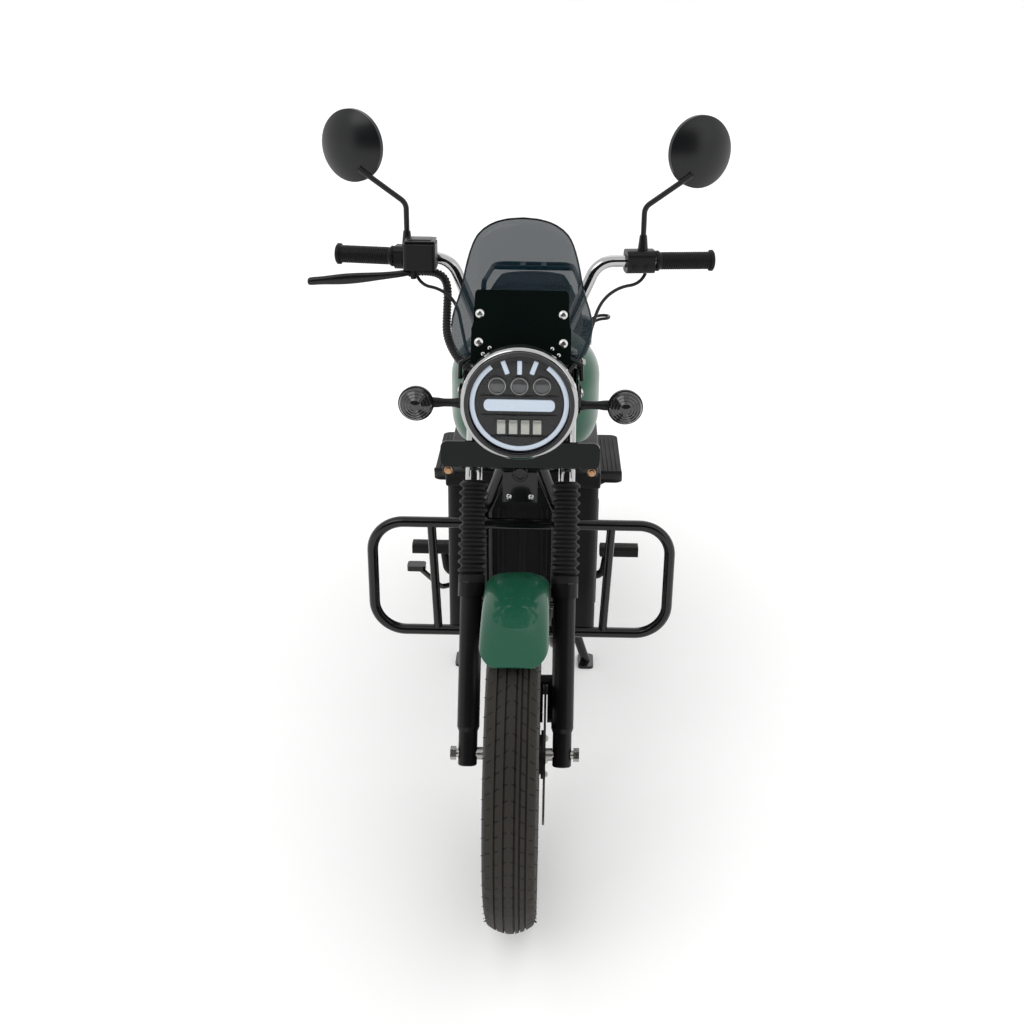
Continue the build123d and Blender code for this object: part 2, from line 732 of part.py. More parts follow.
# Handlebar, grips and controls
BAR_BENDS = [(72, BAR_Y, BAR_Z, 40), (134, 397, 1089, 44)]
with BuildPart() as handlebar:
    right = [at(-x, y, z) for x, y, z, bend in reversed(BAR_BENDS)]
    left = [at(x, y, z) for x, y, z, bend in BAR_BENDS]
    bends = [bend for x, y, z, bend in BAR_BENDS]
    ends = [at(side * (GRIP_END_X - 2), GRIP_Y, GRIP_Z) for side in (-1, 1)]
    rod([ends[0], *right, *left, ends[1]], bends[::-1] + bends, BAR_R)
save(handlebar, "handlebar")

last = BAR_BENDS[-1]
grip_run = Vector(GRIP_END_X - 2 - last[0], GRIP_Y - last[1], GRIP_Z - last[2]).normalized()


def on_bar(x, side):
    """The point of the handlebar's outer run at this distance from the middle."""
    share = (x - last[0]) / (GRIP_END_X - 2 - last[0])
    y = last[1] + share * (GRIP_Y - last[1])
    z = last[2] + share * (GRIP_Z - last[2])
    return at(side * x, y, z)


def bar_plane(x, side):
    """The plane square to the handlebar's outer run, facing outwards."""
    out = (side * grip_run.X, grip_run.Y, grip_run.Z)
    return Plane(origin=on_bar(x, side), x_dir=(-grip_run.Y, side * grip_run.X, 0), z_dir=out)


with BuildPart() as grips:
    for side in (-1, 1):
        with BuildSketch(bar_plane(GRIP_IN_X, side)):
            Circle(GRIP_R)
            Circle(BAR_R + SEAT_GAP, mode=Mode.SUBTRACT)
        extrude(amount=GRIP_END_X - GRIP_IN_X - 3)
        with BuildSketch(bar_plane(GRIP_END_X - 8, side)):
            Circle(GRIP_R + 3)
            Circle(BAR_R + SEAT_GAP, mode=Mode.SUBTRACT)
        extrude(amount=5)
save(grips, "grips")

with BuildPart() as switch_clusters:
    for side, inner, outer in ((1, 184, 236), (-1, 208, 236)):
        with BuildSketch(bar_plane(inner, side)):
            RectangleRounded(40, 42, 12)
            Circle(BAR_R + SEAT_GAP, mode=Mode.SUBTRACT)
        extrude(amount=outer - inner)
save(switch_clusters, "switch_clusters")

with BuildPart() as master_cylinder:
    with BuildSketch(bar_plane(170, -1)):
        RectangleRounded(34, 36, 8)
    extrude(amount=34)
    with BuildSketch(Plane.XY.offset(MASTER_Z)):
        with Locations((-186, FRONT_Y + 362)):
            RectangleRounded(58, 54, 8)
    extrude(amount=46)
    with BuildSketch(bar_plane(150, -1)):
        Circle(BAR_R + SEAT_GAP)
    extrude(amount=70, mode=Mode.SUBTRACT)
save(master_cylinder, "master_cylinder")

with BuildPart() as brake_lever:
    drop = radians(LEVER_DROP)
    lever_plane = Plane(
        origin=at(-196, 0, MASTER_Z - SEAT_GAP),
        x_dir=(cos(drop), 0, sin(drop)),
        z_dir=(-sin(drop), 0, cos(drop)),
    )
    with BuildSketch(lever_plane):
        with BuildLine():
            Polyline(
                (0, 336),
                (-26, 324),
                (-104, 326),
                (-186, 334),
                (-193, 344),
                (-184, 352),
                (-104, 346),
                (-36, 350),
                (-4, 362),
                close=True,
            )
        make_face()
    extrude(amount=-14)
save(brake_lever, "brake_lever")

with BuildPart() as mirrors:
    for side in (-1, 1):
        base = on_bar(STEM_BASE_X, side)
        foot_z = base[2] + 21 + SEAT_GAP
        inward = radians(MIRROR_YAW)
        facing = Vector(-side * sin(inward), cos(inward), 0)
        across = Vector(cos(inward), side * sin(inward), 0)
        centre = Vector(*at(side * MIRROR_X, MIRROR_Y, MIRROR_Z))
        joint = centre - facing * 13 - across * (side * 24) - Vector(0, 0, 36)
        elbow = (base[0], base[1], foot_z + 76)
        rod([(base[0], base[1], foot_z), elbow, joint], [22], 5)
        with BuildSketch(Plane(origin=(base[0], base[1], foot_z), z_dir=(0, 0, 1))):
            Circle(9.5)
        extrude(amount=26, taper=6)
        with BuildSketch(Plane(origin=centre, x_dir=across, z_dir=(0, 0, 1))):
            with BuildLine():
                Line((0, 8), (MIRROR_R, 8))
                Line((MIRROR_R, 8), (MIRROR_R, 0))
                ThreePointArc((MIRROR_R, 0), (0.6 * MIRROR_R, -13), (0, -19))
                Line((0, -19), (0, 8))
            make_face()
        revolve(axis=Axis(centre, facing))
save(mirrors, "mirrors")

# Smoked screen and its mounting plate
screen_tilt = radians(SCREEN_TILT)
screen_axis_z = (0, sin(screen_tilt), cos(screen_tilt))
screen_foot = Vector(*at(0, 178, 950))
SCREEN_LINE = [(106, 952), (120, 985), (122, 1010), (112, 1048), (100, 1080), (92, 1120), (70, 1166)]
with BuildPart() as fly_screen:
    with BuildSketch(Plane.XZ.offset(-(FRONT_Y + 150))):
        with BuildLine():
            left = [(x, z) for x, z in SCREEN_LINE]
            right = [(-x, z) for x, z in SCREEN_LINE]
            Polyline(*left)
            ThreePointArc(left[-1], (0, SCREEN_TOP_Z), right[-1])
            Polyline(*right)
            ThreePointArc(left[0], (0, LAMP_Z + LAMP_R + 12), right[0])
        make_face()
    extrude(amount=-220)
    back = Vector(0, cos(screen_tilt), -sin(screen_tilt))
    sheet_plane = Plane(
        origin=screen_foot + back * SCREEN_CURVE_R, x_dir=(1, 0, 0), z_dir=screen_axis_z
    )
    with BuildSketch(sheet_plane.offset(-150)):
        Circle(SCREEN_CURVE_R)
        Circle(SCREEN_CURVE_R - SCREEN_T, mode=Mode.SUBTRACT)
    extrude(amount=500, mode=Mode.INTERSECT)
save(fly_screen, "fly_screen")

with BuildPart() as screen_bracket:
    with BuildSketch(Plane.XZ.offset(-(FRONT_Y + 120))):
        with BuildLine():
            Polyline((82, 1000), (84, 1092), (-84, 1092), (-82, 1000))
            ThreePointArc((82, 1000), (0, LAMP_Z + LAMP_R + 8), (-82, 1000))
        make_face()
    extrude(amount=-160)
    sheet = Plane(origin=screen_foot - Vector(0, 6, 0), x_dir=(1, 0, 0), z_dir=screen_axis_z)
    with BuildSketch(sheet.offset(-100)):
        Rectangle(200, 3)
    extrude(amount=400, mode=Mode.INTERSECT)
    for x, z in ((-72, 1056), (72, 1056), (-72, 1009), (72, 1009)):
        front_y = screen_foot.Y - FRONT_Y - 6 + (z - screen_foot.Z) * tan(screen_tilt)
        rod([at(x, front_y, z), at(x, front_y + 40, z)], [], 5.5)
    with BuildSketch(sheet_plane.offset(-150)):
        Circle(SCREEN_CURVE_R + SEAT_GAP)
    extrude(amount=500, mode=Mode.SUBTRACT)
    for side in (-1, 1):
        rod(
            [
                at(side * 76, 190, 1006),
                at(side * (EAR_X + 2), 190, 968),
                at(side * (EAR_X + 2), 196, LAMP_Z + 11.7),
            ],
            [14],
            4,
        )
save(screen_bracket, "screen_bracket")

with BuildPart() as instrument:
    tilt = radians(40)
    dial = Plane(origin=at(0, 300, 1018), x_dir=(1, 0, 0), z_dir=(0, sin(tilt), cos(tilt)))
    with BuildSketch(dial.offset(-16)):
        RectangleRounded(150, 86, 20)
    extrude(amount=32)
    with BuildSketch(Plane.YZ.offset(-30)):
        with BuildLine():
            Polyline(
                at(0, 312, 920)[1:],
                at(0, 330, 915)[1:],
                at(0, 322, 985)[1:],
                at(0, 306, 1000)[1:],
                at(0, 296, 1005)[1:],
                close=True,
            )
        make_face()
    extrude(amount=60)
    with BuildSketch(fork_plane(UPPER_YOKE_S)):
        Rectangle(120, 120)
    extrude(amount=UPPER_YOKE_T + SEAT_GAP, mode=Mode.SUBTRACT)
save(instrument, "instrument")


def down_tube(side, radius, mode=Mode.ADD):
    """One of the two tubes from the head down the front, under the battery to the rear."""
    head_low = fork_point(side * 10, STEER_LOW + 26, AXIS_OFFSET)
    rod(
        [
            (head_low[0], head_low[1] + 8, head_low[2]),
            at(side * CRADLE_X, DOWN_TOP_Y, DOWN_TOP_Z),
            at(side * CRADLE_X, DOWN_FOOT_Y, CRADLE_Z),
            at(side * CRADLE_X, PIVOT_Y, CRADLE_Z),
        ],
        DOWN_BENDS,
        radius,
        mode,
    )


def fender_tube_z(behind):
    """The height of a cross tube that the rear fender hangs from."""
    reach = REAR_FENDER_R + SEAT_GAP + CROSS_R
    return REAR_FENDER_Z + sqrt(reach**2 - (behind - WHEELBASE) ** 2)


# Frame
with BuildPart() as main_frame:
    with BuildSketch(fork_plane(STEER_LOW)):
        with Locations((0, AXIS_OFFSET)):
            Circle(HEAD_TUBE_R)
    extrude(amount=STEER_TOP - STEER_LOW)
    rod(
        [
            fork_point(0, STEER_LOW + 48, AXIS_OFFSET),
            at(0, SPINE_TOP_Y, RAIL_Z + 15),
            at(0, SPINE_BEND_Y, SPINE_BEND_Z),
            at(0, PIVOT_Y, PIVOT_Z),
        ],
        [200, 90],
        SPINE_R,
    )
    mount_x = TANK_CHANNEL_W / 2 - SEAT_GAP
    rod([at(-mount_x, TANK_Y0 + 80, RAIL_Z + 28), at(mount_x, TANK_Y0 + 80, RAIL_Z + 28)], [], 9)
    for side in (-1, 1):
        down_tube(side, TUBE_R)
        rod(
            [
                at(side * 14, SPINE_BEND_Y + 12, SPINE_BEND_Z - 30),
                at(side * RAIL_X, SPINE_BEND_Y + 118, RAIL_Z),
                at(side * RAIL_X, WHEELBASE - 40, RAIL_Z + 8),
                at(side * RAIL_X, WHEELBASE + 150, RAIL_Z + 54),
            ],
            [70, 200],
            RAIL_R,
        )
        rod([stay_point(side, 0), stay_point(side, 1)], [], STAY_R)
        head = at(side * SHOCK_STUD_X, SHOCK_HEAD_Y, SHOCK_HEAD_Z)
        rod([at(side * RAIL_X, SHOCK_HEAD_Y, SHOCK_HEAD_Z), head], [], SHOCK_STUD_R)
        lug = stand_plane(-SIDE_EYE_T / 2 - SEAT_GAP)
        if side > 0:
            with BuildSketch(lug):
                Circle(SIDE_EYE_R + 1)
            extrude(amount=-14)
            with BuildSketch(lug):
                Circle(SIDE_BOLT_R)
            extrude(amount=SIDE_EYE_T + 2 * SEAT_GAP + 4)
            with BuildSketch(stand_plane(SIDE_EYE_T / 2 + SEAT_GAP)):
                RegularPolygon(9, 6)
            extrude(amount=6)
            with BuildSketch(Plane.XZ.offset(-(FRONT_Y + SIDE_PIVOT_Y - 9))):
                with BuildLine():
                    Polyline(
                        (CRADLE_X - 6, CRADLE_Z - 8),
                        (CRADLE_X + 10, CRADLE_Z + 4),
                        (SIDE_PIVOT_X - 9, SIDE_PIVOT_Z + 4),
                        (SIDE_PIVOT_X - 14, SIDE_PIVOT_Z - 16),
                        (SIDE_PIVOT_X - 20, SIDE_PIVOT_Z - 18),
                        close=True,
                    )
                make_face()
            extrude(amount=-18)
        with BuildSketch(Plane.YZ.offset(side * 60)):
            with BuildLine():
                Polyline(
                    at(0, CENTRE_PIVOT_Y - 16, CENTRE_PIVOT_Z - 16)[1:],
                    at(0, CENTRE_PIVOT_Y + 16, CENTRE_PIVOT_Z - 16)[1:],
                    at(0, PIVOT_Y + 34, PIVOT_Z - 70)[1:],
                    at(0, PIVOT_Y + 34, PIVOT_Z + 40)[1:],
                    at(0, PIVOT_Y - 30, PIVOT_Z + 60)[1:],
                    at(0, CENTRE_PIVOT_Y - 16, PIVOT_Z)[1:],
                    close=True,
                )
            make_face()
        extrude(amount=-side * 8)
    for y, z, half, radius in (
        (PIVOT_Y, PIVOT_Z + 46, 60, 12),
        (SEAT_TUBES_Y[0], fender_tube_z(SEAT_TUBES_Y[0]), RAIL_X, CROSS_R),
        (SEAT_TUBES_Y[1], fender_tube_z(SEAT_TUBES_Y[1]), RAIL_X, CROSS_R),
        (WHEELBASE + 135, RAIL_Z + 50, RAIL_X, CROSS_R),
        (CENTRE_PIVOT_Y, CENTRE_PIVOT_Z, CENTRE_TUBE_X, CENTRE_TUBE_R),
        (PIVOT_Y, PIVOT_Z, ARM_X + ARM_T / 2 + 8, PIVOT_BOLT_R),
        (PIVOT_Y - 20, CRADLE_Z, CRADLE_X, 12),
        (560, CRADLE_Z, CRADLE_X, 12),
    ):
        rod([at(-half, y, z), at(half, y, z)], [], radius)
    with BuildSketch(fork_plane(STEER_LOW)):
        with Locations((0, AXIS_OFFSET)):
            Circle(STEM_R + 0.08)
    extrude(amount=STEER_TOP - STEER_LOW, mode=Mode.SUBTRACT)
save(main_frame, "main_frame")

with BuildPart() as battery_box:
    with BuildSketch(Plane.XY.offset(BATTERY_Z0)):
        with Locations((0, FRONT_Y + (BATTERY_Y0 + BATTERY_Y1) / 2)):
            RectangleRounded(BATTERY_W, BATTERY_Y1 - BATTERY_Y0, 18)
    extrude(amount=BATTERY_Z1 - BATTERY_Z0)
save(battery_box, "battery_box")

TANK_SECTIONS = [
    (TANK_Y0, 150, -30, 108, 40),
    (TANK_Y0 + 60, 262, -58, 142, 62),
    (TANK_Y0 + 160, TANK_W, -66, TANK_TOP, 76),
    (TANK_Y1 - 120, 262, -40, 138, 66),
    (TANK_Y1, 176, 12, 96, 34),
]
with BuildPart() as tank:
    for y, width, low, high, corner in TANK_SECTIONS:
        with BuildSketch(Plane.XZ.offset(-(FRONT_Y + y))):
            with Locations((0, RAIL_Z + (low + high) / 2)):
                RectangleRounded(width, high - low, corner)
    loft()
    with BuildSketch(Plane.XZ.offset(-(FRONT_Y + TANK_Y0 - 10))):
        with Locations((0, SPINE_BEND_Z)):
            Rectangle(TANK_CHANNEL_W, 200)
    extrude(amount=-(TANK_Y1 - TANK_Y0 + 20), mode=Mode.SUBTRACT)
save(tank, "tank")

with BuildPart() as tank_cap:
    with BuildSketch(Plane.XY.offset(RAIL_Z + TANK_TOP + SEAT_GAP)):
        with Locations((0, FRONT_Y + TANK_Y0 + 160)):
            Circle(34)
    extrude(amount=8)
save(tank_cap, "tank_cap")

SEAT_SECTIONS = [
    (TANK_Y1 + 6, 150, 42, 90, 20),
    (TANK_Y1 + 100, 232, 32, 82, 22),
    (WHEELBASE - 170, 262, 32, 92, 24),
    (WHEELBASE - 30, 212, 48, 114, 24),
    (WHEELBASE + 118, 170, 74, 108, 15),
]
with BuildPart() as seat:
    for y, width, low, high, corner in SEAT_SECTIONS:
        with BuildSketch(Plane.XZ.offset(-(FRONT_Y + y))):
            with Locations((0, RAIL_Z + (low + high) / 2)):
                RectangleRounded(width, high - low, corner)
    loft()
    for y in SEAT_TUBES_Y:
        foot_z = fender_tube_z(y) + CROSS_R + SEAT_GAP
        with BuildSketch(Plane.XY.offset(foot_z)):
            with Locations((-50, FRONT_Y + y), (50, FRONT_Y + y)):
                Circle(9)
        extrude(amount=RAIL_Z + 70 - foot_z)
save(seat, "seat")

with BuildPart() as side_panels:
    for side in (-1, 1):
        with BuildSketch(Plane.YZ.offset(side * (RAIL_X + RAIL_R + SEAT_GAP))):
            with BuildLine():
                Polyline(
                    at(0, TANK_Y1 - 45, RAIL_Z + 8)[1:],
                    at(0, TANK_Y1 + 200, RAIL_Z + 12)[1:],
                    at(0, TANK_Y1 + 125, RAIL_Z - 170)[1:],
                    at(0, TANK_Y1 - 48, RAIL_Z - 210)[1:],
                    close=True,
                )
            make_face()
        extrude(amount=side * 10)
save(side_panels, "side_panels")

def rear_fender_cut():
    """Cuts away what lies inside the rear fender's outer face and its clearance."""
    half = REAR_FENDER_W / 2
    crown = REAR_FENDER_R + SEAT_GAP
    with BuildSketch(wheel_plane(REAR_Y, REAR_FENDER_Z)) as section:
        edge = crown - REAR_FENDER_DROP
        with BuildLine() as outline:
            Polyline((-half, edge), (-half, 100), (half, 100), (half, edge))
            ThreePointArc((half, edge), (0, crown), (-half, edge))
        make_face(outline.edges())
    axis = Axis((0, REAR_Y, REAR_FENDER_Z), (1, 0, 0))
    revolve(section.sketch, axis=axis, mode=Mode.SUBTRACT)


# Rear end
with BuildPart() as rear_fender:
    start_plane = tilted_wheel_plane(REAR_Y, REAR_FENDER_Z, REAR_FENDER_FRONT)
    with BuildSketch(start_plane):
        fender_profile(REAR_FENDER_R, REAR_FENDER_W, REAR_FENDER_T, REAR_FENDER_DROP)
    revolve(
        axis=Axis((0, REAR_Y, REAR_FENDER_Z), (1, 0, 0)),
        revolution_arc=-(REAR_FENDER_FRONT + REAR_FENDER_BACK),
    )
save(rear_fender, "rear_fender")

with BuildPart() as rear_lamps:
    with BuildSketch(Plane.XZ.offset(-(FRONT_Y + TAIL_Y - 60))):
        with Locations((0, TAIL_Z)):
            RectangleRounded(120, 58, 14)
    extrude(amount=-60)
    for side in (-1, 1):
        rod([at(side * 50, TAIL_Y - 24, TAIL_Z - 6), at(side * 118, TAIL_Y - 24, TAIL_Z - 6)], [], 7)
        with BuildSketch(Plane.XZ.offset(-(FRONT_Y + TAIL_Y - 40))):
            with Locations((side * 140, TAIL_Z - 6)):
                Circle(27)
        extrude(amount=-34)
    rear_fender_cut()
save(rear_lamps, "rear_lamps")

with BuildPart() as rear_plate:
    with BuildSketch(Plane.XZ.offset(-(FRONT_Y + REAR_PLATE_Y))):
        with Locations((0, REAR_PLATE_Z)):
            RectangleRounded(REAR_PLATE_W, REAR_PLATE_H, 10)
        with Locations((-REAR_HOLE_X / 2, REAR_HOLE_Z), (REAR_HOLE_X / 2, REAR_HOLE_Z)):
            Circle(REAR_HOLE_R, mode=Mode.SUBTRACT)
    extrude(amount=-3)
    with BuildSketch(Plane.XZ.offset(-(FRONT_Y + REAR_PLATE_Y - 14))):
        with Locations((-22, REAR_HOLE_Z - 8), (22, REAR_HOLE_Z - 8)):
            Circle(7)
    extrude(amount=-14)
    rear_fender_cut()
save(rear_plate, "rear_plate")

with BuildPart() as swingarm:
    for side in (-1, 1):
        with BuildSketch(Plane.YZ.offset(side * (ARM_X - ARM_T / 2))):
            with BuildLine():
                Polyline(
                    (FRONT_Y + PIVOT_Y - 24, PIVOT_Z - 20),
                    (REAR_Y + 34, REAR_Z - 19),
                    (REAR_Y + 34, REAR_Z + 19),
                    (FRONT_Y + PIVOT_Y - 24, PIVOT_Z + 22),
                    close=True,
                )
            make_face()
        extrude(amount=side * ARM_T)
    rod([at(-ARM_X, PIVOT_Y + 62, PIVOT_Z), at(ARM_X, PIVOT_Y + 62, PIVOT_Z)], [], 16)
    with BuildSketch(Plane.YZ.offset(-120)):
        with Locations((REAR_Y, REAR_Z)):
            Circle(AXLE_R + SEAT_GAP)
        with Locations((FRONT_Y + PIVOT_Y, PIVOT_Z)):
            Circle(PIVOT_BOLT_R + SEAT_GAP)
    extrude(amount=240, mode=Mode.SUBTRACT)
    for side in (-1, 1):
        foot = at(side * (ARM_X + 2), SHOCK_FOOT_Y, SHOCK_FOOT_Z)
        rod([foot, at(side * SHOCK_STUD_X, SHOCK_FOOT_Y, SHOCK_FOOT_Z)], [], SHOCK_STUD_R)
save(swingarm, "swingarm")

with BuildPart() as rear_axle:
    with BuildSketch(Plane.YZ.offset(-112)):
        with Locations((REAR_Y, REAR_Z)):
            Circle(AXLE_R)
    extrude(amount=224)
    for side in (-1, 1):
        with BuildSketch(Plane.YZ.offset(side * (ARM_X + ARM_T / 2 + SEAT_GAP))):
            with Locations((REAR_Y, REAR_Z)):
                RegularPolygon(13, 6)
        extrude(amount=side * 10)
save(rear_axle, "rear_axle")

with BuildPart() as rear_shocks:
    for side in (-1, 1):
        foot = Vector(*at(side * SHOCK_X, SHOCK_FOOT_Y, SHOCK_FOOT_Z))
        head = Vector(*at(side * SHOCK_X, SHOCK_HEAD_Y, SHOCK_HEAD_Z))
        run = (head - foot).normalized()
        length = (head - foot).length
        for low, high, radius in (
            (0, length, 7),
            (20, 130, 19),
            (44, length - 44, SPRING_R),
            (length - 44, length - 16, SPRING_R - 4),
        ):
            with BuildSketch(Plane(origin=foot + run * low, z_dir=run)):
                Circle(radius)
            extrude(amount=high - low)
        for eye in (foot, head):
            with BuildSketch(Plane(origin=eye - Vector(SHOCK_EYE_W / 2, 0, 0), z_dir=(1, 0, 0))):
                Circle(14)
            extrude(amount=SHOCK_EYE_W)
            with BuildSketch(Plane(origin=eye - Vector(SHOCK_EYE_W, 0, 0), z_dir=(1, 0, 0))):
                Circle(SHOCK_STUD_R + SEAT_GAP)
            extrude(amount=2 * SHOCK_EYE_W, mode=Mode.SUBTRACT)
save(rear_shocks, "rear_shocks")

with BuildPart() as crash_guard:
    half = GUARD_W / 2 - GUARD_R
    corner = GUARD_CORNER
    for side in (-1, 1):
        rod(
            [
                at(0, GUARD_Y, GUARD_Z1),
                at(side * half, GUARD_Y, GUARD_Z1),
                at(side * half, GUARD_Y, GUARD_Z0),
                at(0, GUARD_Y, GUARD_Z0),
            ],
            [corner, corner],
            GUARD_R,
        )
        rod([at(side * 174, GUARD_Y, GUARD_Z1), at(side * 164, GUARD_Y, GUARD_Z0)], [], GUARD_R - 2)
        for z in (GUARD_Z1, GUARD_Z0):
            down = (DOWN_TOP_Z - z) / (DOWN_TOP_Z - CRADLE_Z)
            tube_y = DOWN_TOP_Y + down * (DOWN_FOOT_Y - DOWN_TOP_Y)
            rod([at(side * CRADLE_X, GUARD_Y, z), at(side * CRADLE_X, tube_y - 4, z)], [], 8)
        down_tube(side, TUBE_R + SEAT_GAP, Mode.SUBTRACT)
save(crash_guard, "crash_guard")

with BuildPart() as rider_pegs:
    for side in (-1, 1):
        with BuildSketch(Plane.YZ.offset(side * (PEG_END_X - 88))):
            with Locations((FRONT_Y + PEG_Y, PEG_Z)):
                RectangleRounded(34, 26, 8)
        extrude(amount=side * 88)
        rod(
            [
                at(side * (CRADLE_X + TUBE_R + SEAT_GAP), PEG_Y, CRADLE_Z),
                at(side * (PEG_END_X - 80), PEG_Y, CRADLE_Z),
                at(side * (PEG_END_X - 72), PEG_Y, PEG_Z - 6),
            ],
            [22],
            9,
        )
save(rider_pegs, "rider_pegs")

with BuildPart() as brake_pedal:
    with BuildSketch(Plane.XY.offset(PEDAL_Z - 12)):
        with Locations(at(-PEDAL_X, PEDAL_Y, 0)[:2]):
            RectangleRounded(40, 28, 6)
    extrude(amount=12)
    rod(
        [
            at(-PEDAL_X, PEDAL_Y + 6, PEDAL_Z - 8),
            at(-190, PEG_Y - 66, CRADLE_Z - 4),
            at(-130, PEG_Y - 30, CRADLE_Z - 4),
            at(-130, PEG_Y - 9 - SEAT_GAP, CRADLE_Z - 2),
        ],
        [24, 8],
        6,
    )
save(brake_pedal, "brake_pedal")

with BuildPart() as pillion_boards:
    for side in (-1, 1):
        with BuildSketch(Plane.XY.offset(BOARD_Z - BOARD_T)):
            with Locations((side * BOARD_X, FRONT_Y + (BOARD_Y0 + BOARD_Y1) / 2)):
                RectangleRounded(BOARD_W, BOARD_Y1 - BOARD_Y0, 20)
        extrude(amount=BOARD_T)
        arm_z = BOARD_Z - BOARD_T - 5
        rod(
            [
                stay_point(side, 0.21),
                at(side * 140, BOARD_Y0 - 32, arm_z),
                at(side * BOARD_X, BOARD_Y0 + 46, arm_z),
                at(side * BOARD_X, BOARD_Y1 - 40, arm_z),
            ],
            [40, 40],
            8,
        )
        rod([stay_point(side, 0), stay_point(side, 1)], [], STAY_R + SEAT_GAP, Mode.SUBTRACT)
save(pillion_boards, "pillion_boards")

with BuildPart() as rear_rack:
    bar_z = RACK_Z - RACK_BAR_R
    for side in (-1, 1):
        rod(
            [
                at(side * (RAIL_X + RAIL_R + 14), RACK_Y0, RAIL_Z + 14),
                at(side * (RAIL_X + RAIL_R + 16), RACK_Y0 + 30, bar_z),
                at(side * RACK_W / 2, RACK_Y1 - RACK_BAR_R, bar_z),
                at(0, RACK_Y1 - RACK_BAR_R, bar_z),
            ],
            [26, 36],
            RACK_BAR_R,
        )
        rod(
            [
                at(side * (RAIL_X + RAIL_R + SEAT_GAP), RACK_Y0, RAIL_Z + 14),
                at(side * (RAIL_X + RAIL_R + 14), RACK_Y0, RAIL_Z + 14),
            ],
            [],
            8,
        )
        with BuildSketch(Plane.XY.offset(RACK_Z - 6)):
            with Locations((side * 28, FRONT_Y + RACK_Y1 - RACK_SLAT / 2 - 6)):
                Rectangle(14, RACK_SLAT)
        extrude(amount=6)
    cross_y = RACK_Y1 - RACK_SLAT
    rod([at(-RACK_W / 2 - 2, cross_y, bar_z), at(RACK_W / 2 + 2, cross_y, bar_z)], [], RACK_BAR_R)
save(rear_rack, "rear_rack")

# Centre stand: two splayed legs that turn on the frame's cross tube, with feet and a brace
with BuildPart() as centre_stand:
    lean = radians(CENTRE_LEAN)
    foot_y = CENTRE_PIVOT_Y - CENTRE_PIVOT_Z * tan(lean)
    for side in (-1, 1):
        rod(
            [
                at(side * CENTRE_EYE_X, CENTRE_PIVOT_Y, CENTRE_PIVOT_Z),
                at(side * CENTRE_FOOT_X, foot_y, 6),
            ],
            [],
            11,
        )
        with BuildSketch(Plane.YZ.offset(side * (CENTRE_EYE_X - CENTRE_EYE_W / 2))):
            with Locations((FRONT_Y + CENTRE_PIVOT_Y, CENTRE_PIVOT_Z)):
                Circle(CENTRE_EYE_R)
        extrude(amount=side * CENTRE_EYE_W)
        with BuildSketch(Plane.XY):
            with Locations(at(side * CENTRE_FOOT_X, foot_y, 0)[:2]):
                RectangleRounded(38, 62, 10)
        extrude(amount=7)
    brace_y = CENTRE_PIVOT_Y - CENTRE_BRACE_DROP * tan(lean)
    brace_z = CENTRE_PIVOT_Z - CENTRE_BRACE_DROP
    rod([at(-96, brace_y, brace_z), at(96, brace_y, brace_z)], [], 9)
    with BuildSketch(Plane.YZ.offset(-CENTRE_FOOT_X)):
        with Locations((FRONT_Y + CENTRE_PIVOT_Y, CENTRE_PIVOT_Z)):
            Circle(CENTRE_TUBE_R + 0.06)
    extrude(amount=2 * CENTRE_FOOT_X, mode=Mode.SUBTRACT)
save(centre_stand, "centre_stand")

# Side stand, folded back along the frame; its bolt leans outwards at the foot
with BuildPart() as side_stand:
    neck = SIDE_EYE_R + 22
    with BuildSketch(stand_plane(-SIDE_EYE_T / 2)):
        Circle(SIDE_EYE_R)
        with Locations((neck / 2, 0)):
            Rectangle(neck, 2 * SIDE_TUBE_R)
    extrude(amount=SIDE_EYE_T)
    rod(
        [
            at(SIDE_PIVOT_X, SIDE_PIVOT_Y + SIDE_EYE_R + 8, SIDE_PIVOT_Z),
            at(SIDE_PIVOT_X, SIDE_PIVOT_Y + SIDE_LENGTH, SIDE_PIVOT_Z),
        ],
        [],
        SIDE_TUBE_R,
    )
    with BuildSketch(stand_plane(-SIDE_EYE_T)):
        Circle(SIDE_BOLT_R + 0.06)
    extrude(amount=2 * SIDE_EYE_T, mode=Mode.SUBTRACT)
save(side_stand, "side_stand")
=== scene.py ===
"""An electric motorcycle dressed around its fixed frame: tyres, lamps, seat, fittings and finishes."""

import json
from math import cos, pi, radians, sin

import bmesh
import bpy
from mathutils import Matrix, Vector


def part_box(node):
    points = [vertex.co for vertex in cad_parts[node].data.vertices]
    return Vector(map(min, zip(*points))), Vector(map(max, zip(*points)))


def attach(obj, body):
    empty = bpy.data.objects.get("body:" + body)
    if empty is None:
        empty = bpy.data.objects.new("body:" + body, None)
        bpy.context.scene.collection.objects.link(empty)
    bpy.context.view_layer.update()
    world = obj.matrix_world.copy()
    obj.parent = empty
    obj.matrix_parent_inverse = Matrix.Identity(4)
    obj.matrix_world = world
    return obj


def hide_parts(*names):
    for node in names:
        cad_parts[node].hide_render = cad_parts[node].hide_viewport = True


bl_info = {
    "name": "Electric motorcycle dressing",
    "version": (1, 0, 0),
    "blender": (4, 5, 0),
    "location": "View3D > Sidebar > Motorcycle",
    "description": "Builds the soft parts, lamps, tyres, fittings and finishes round the frame",
    "category": "Object",
}

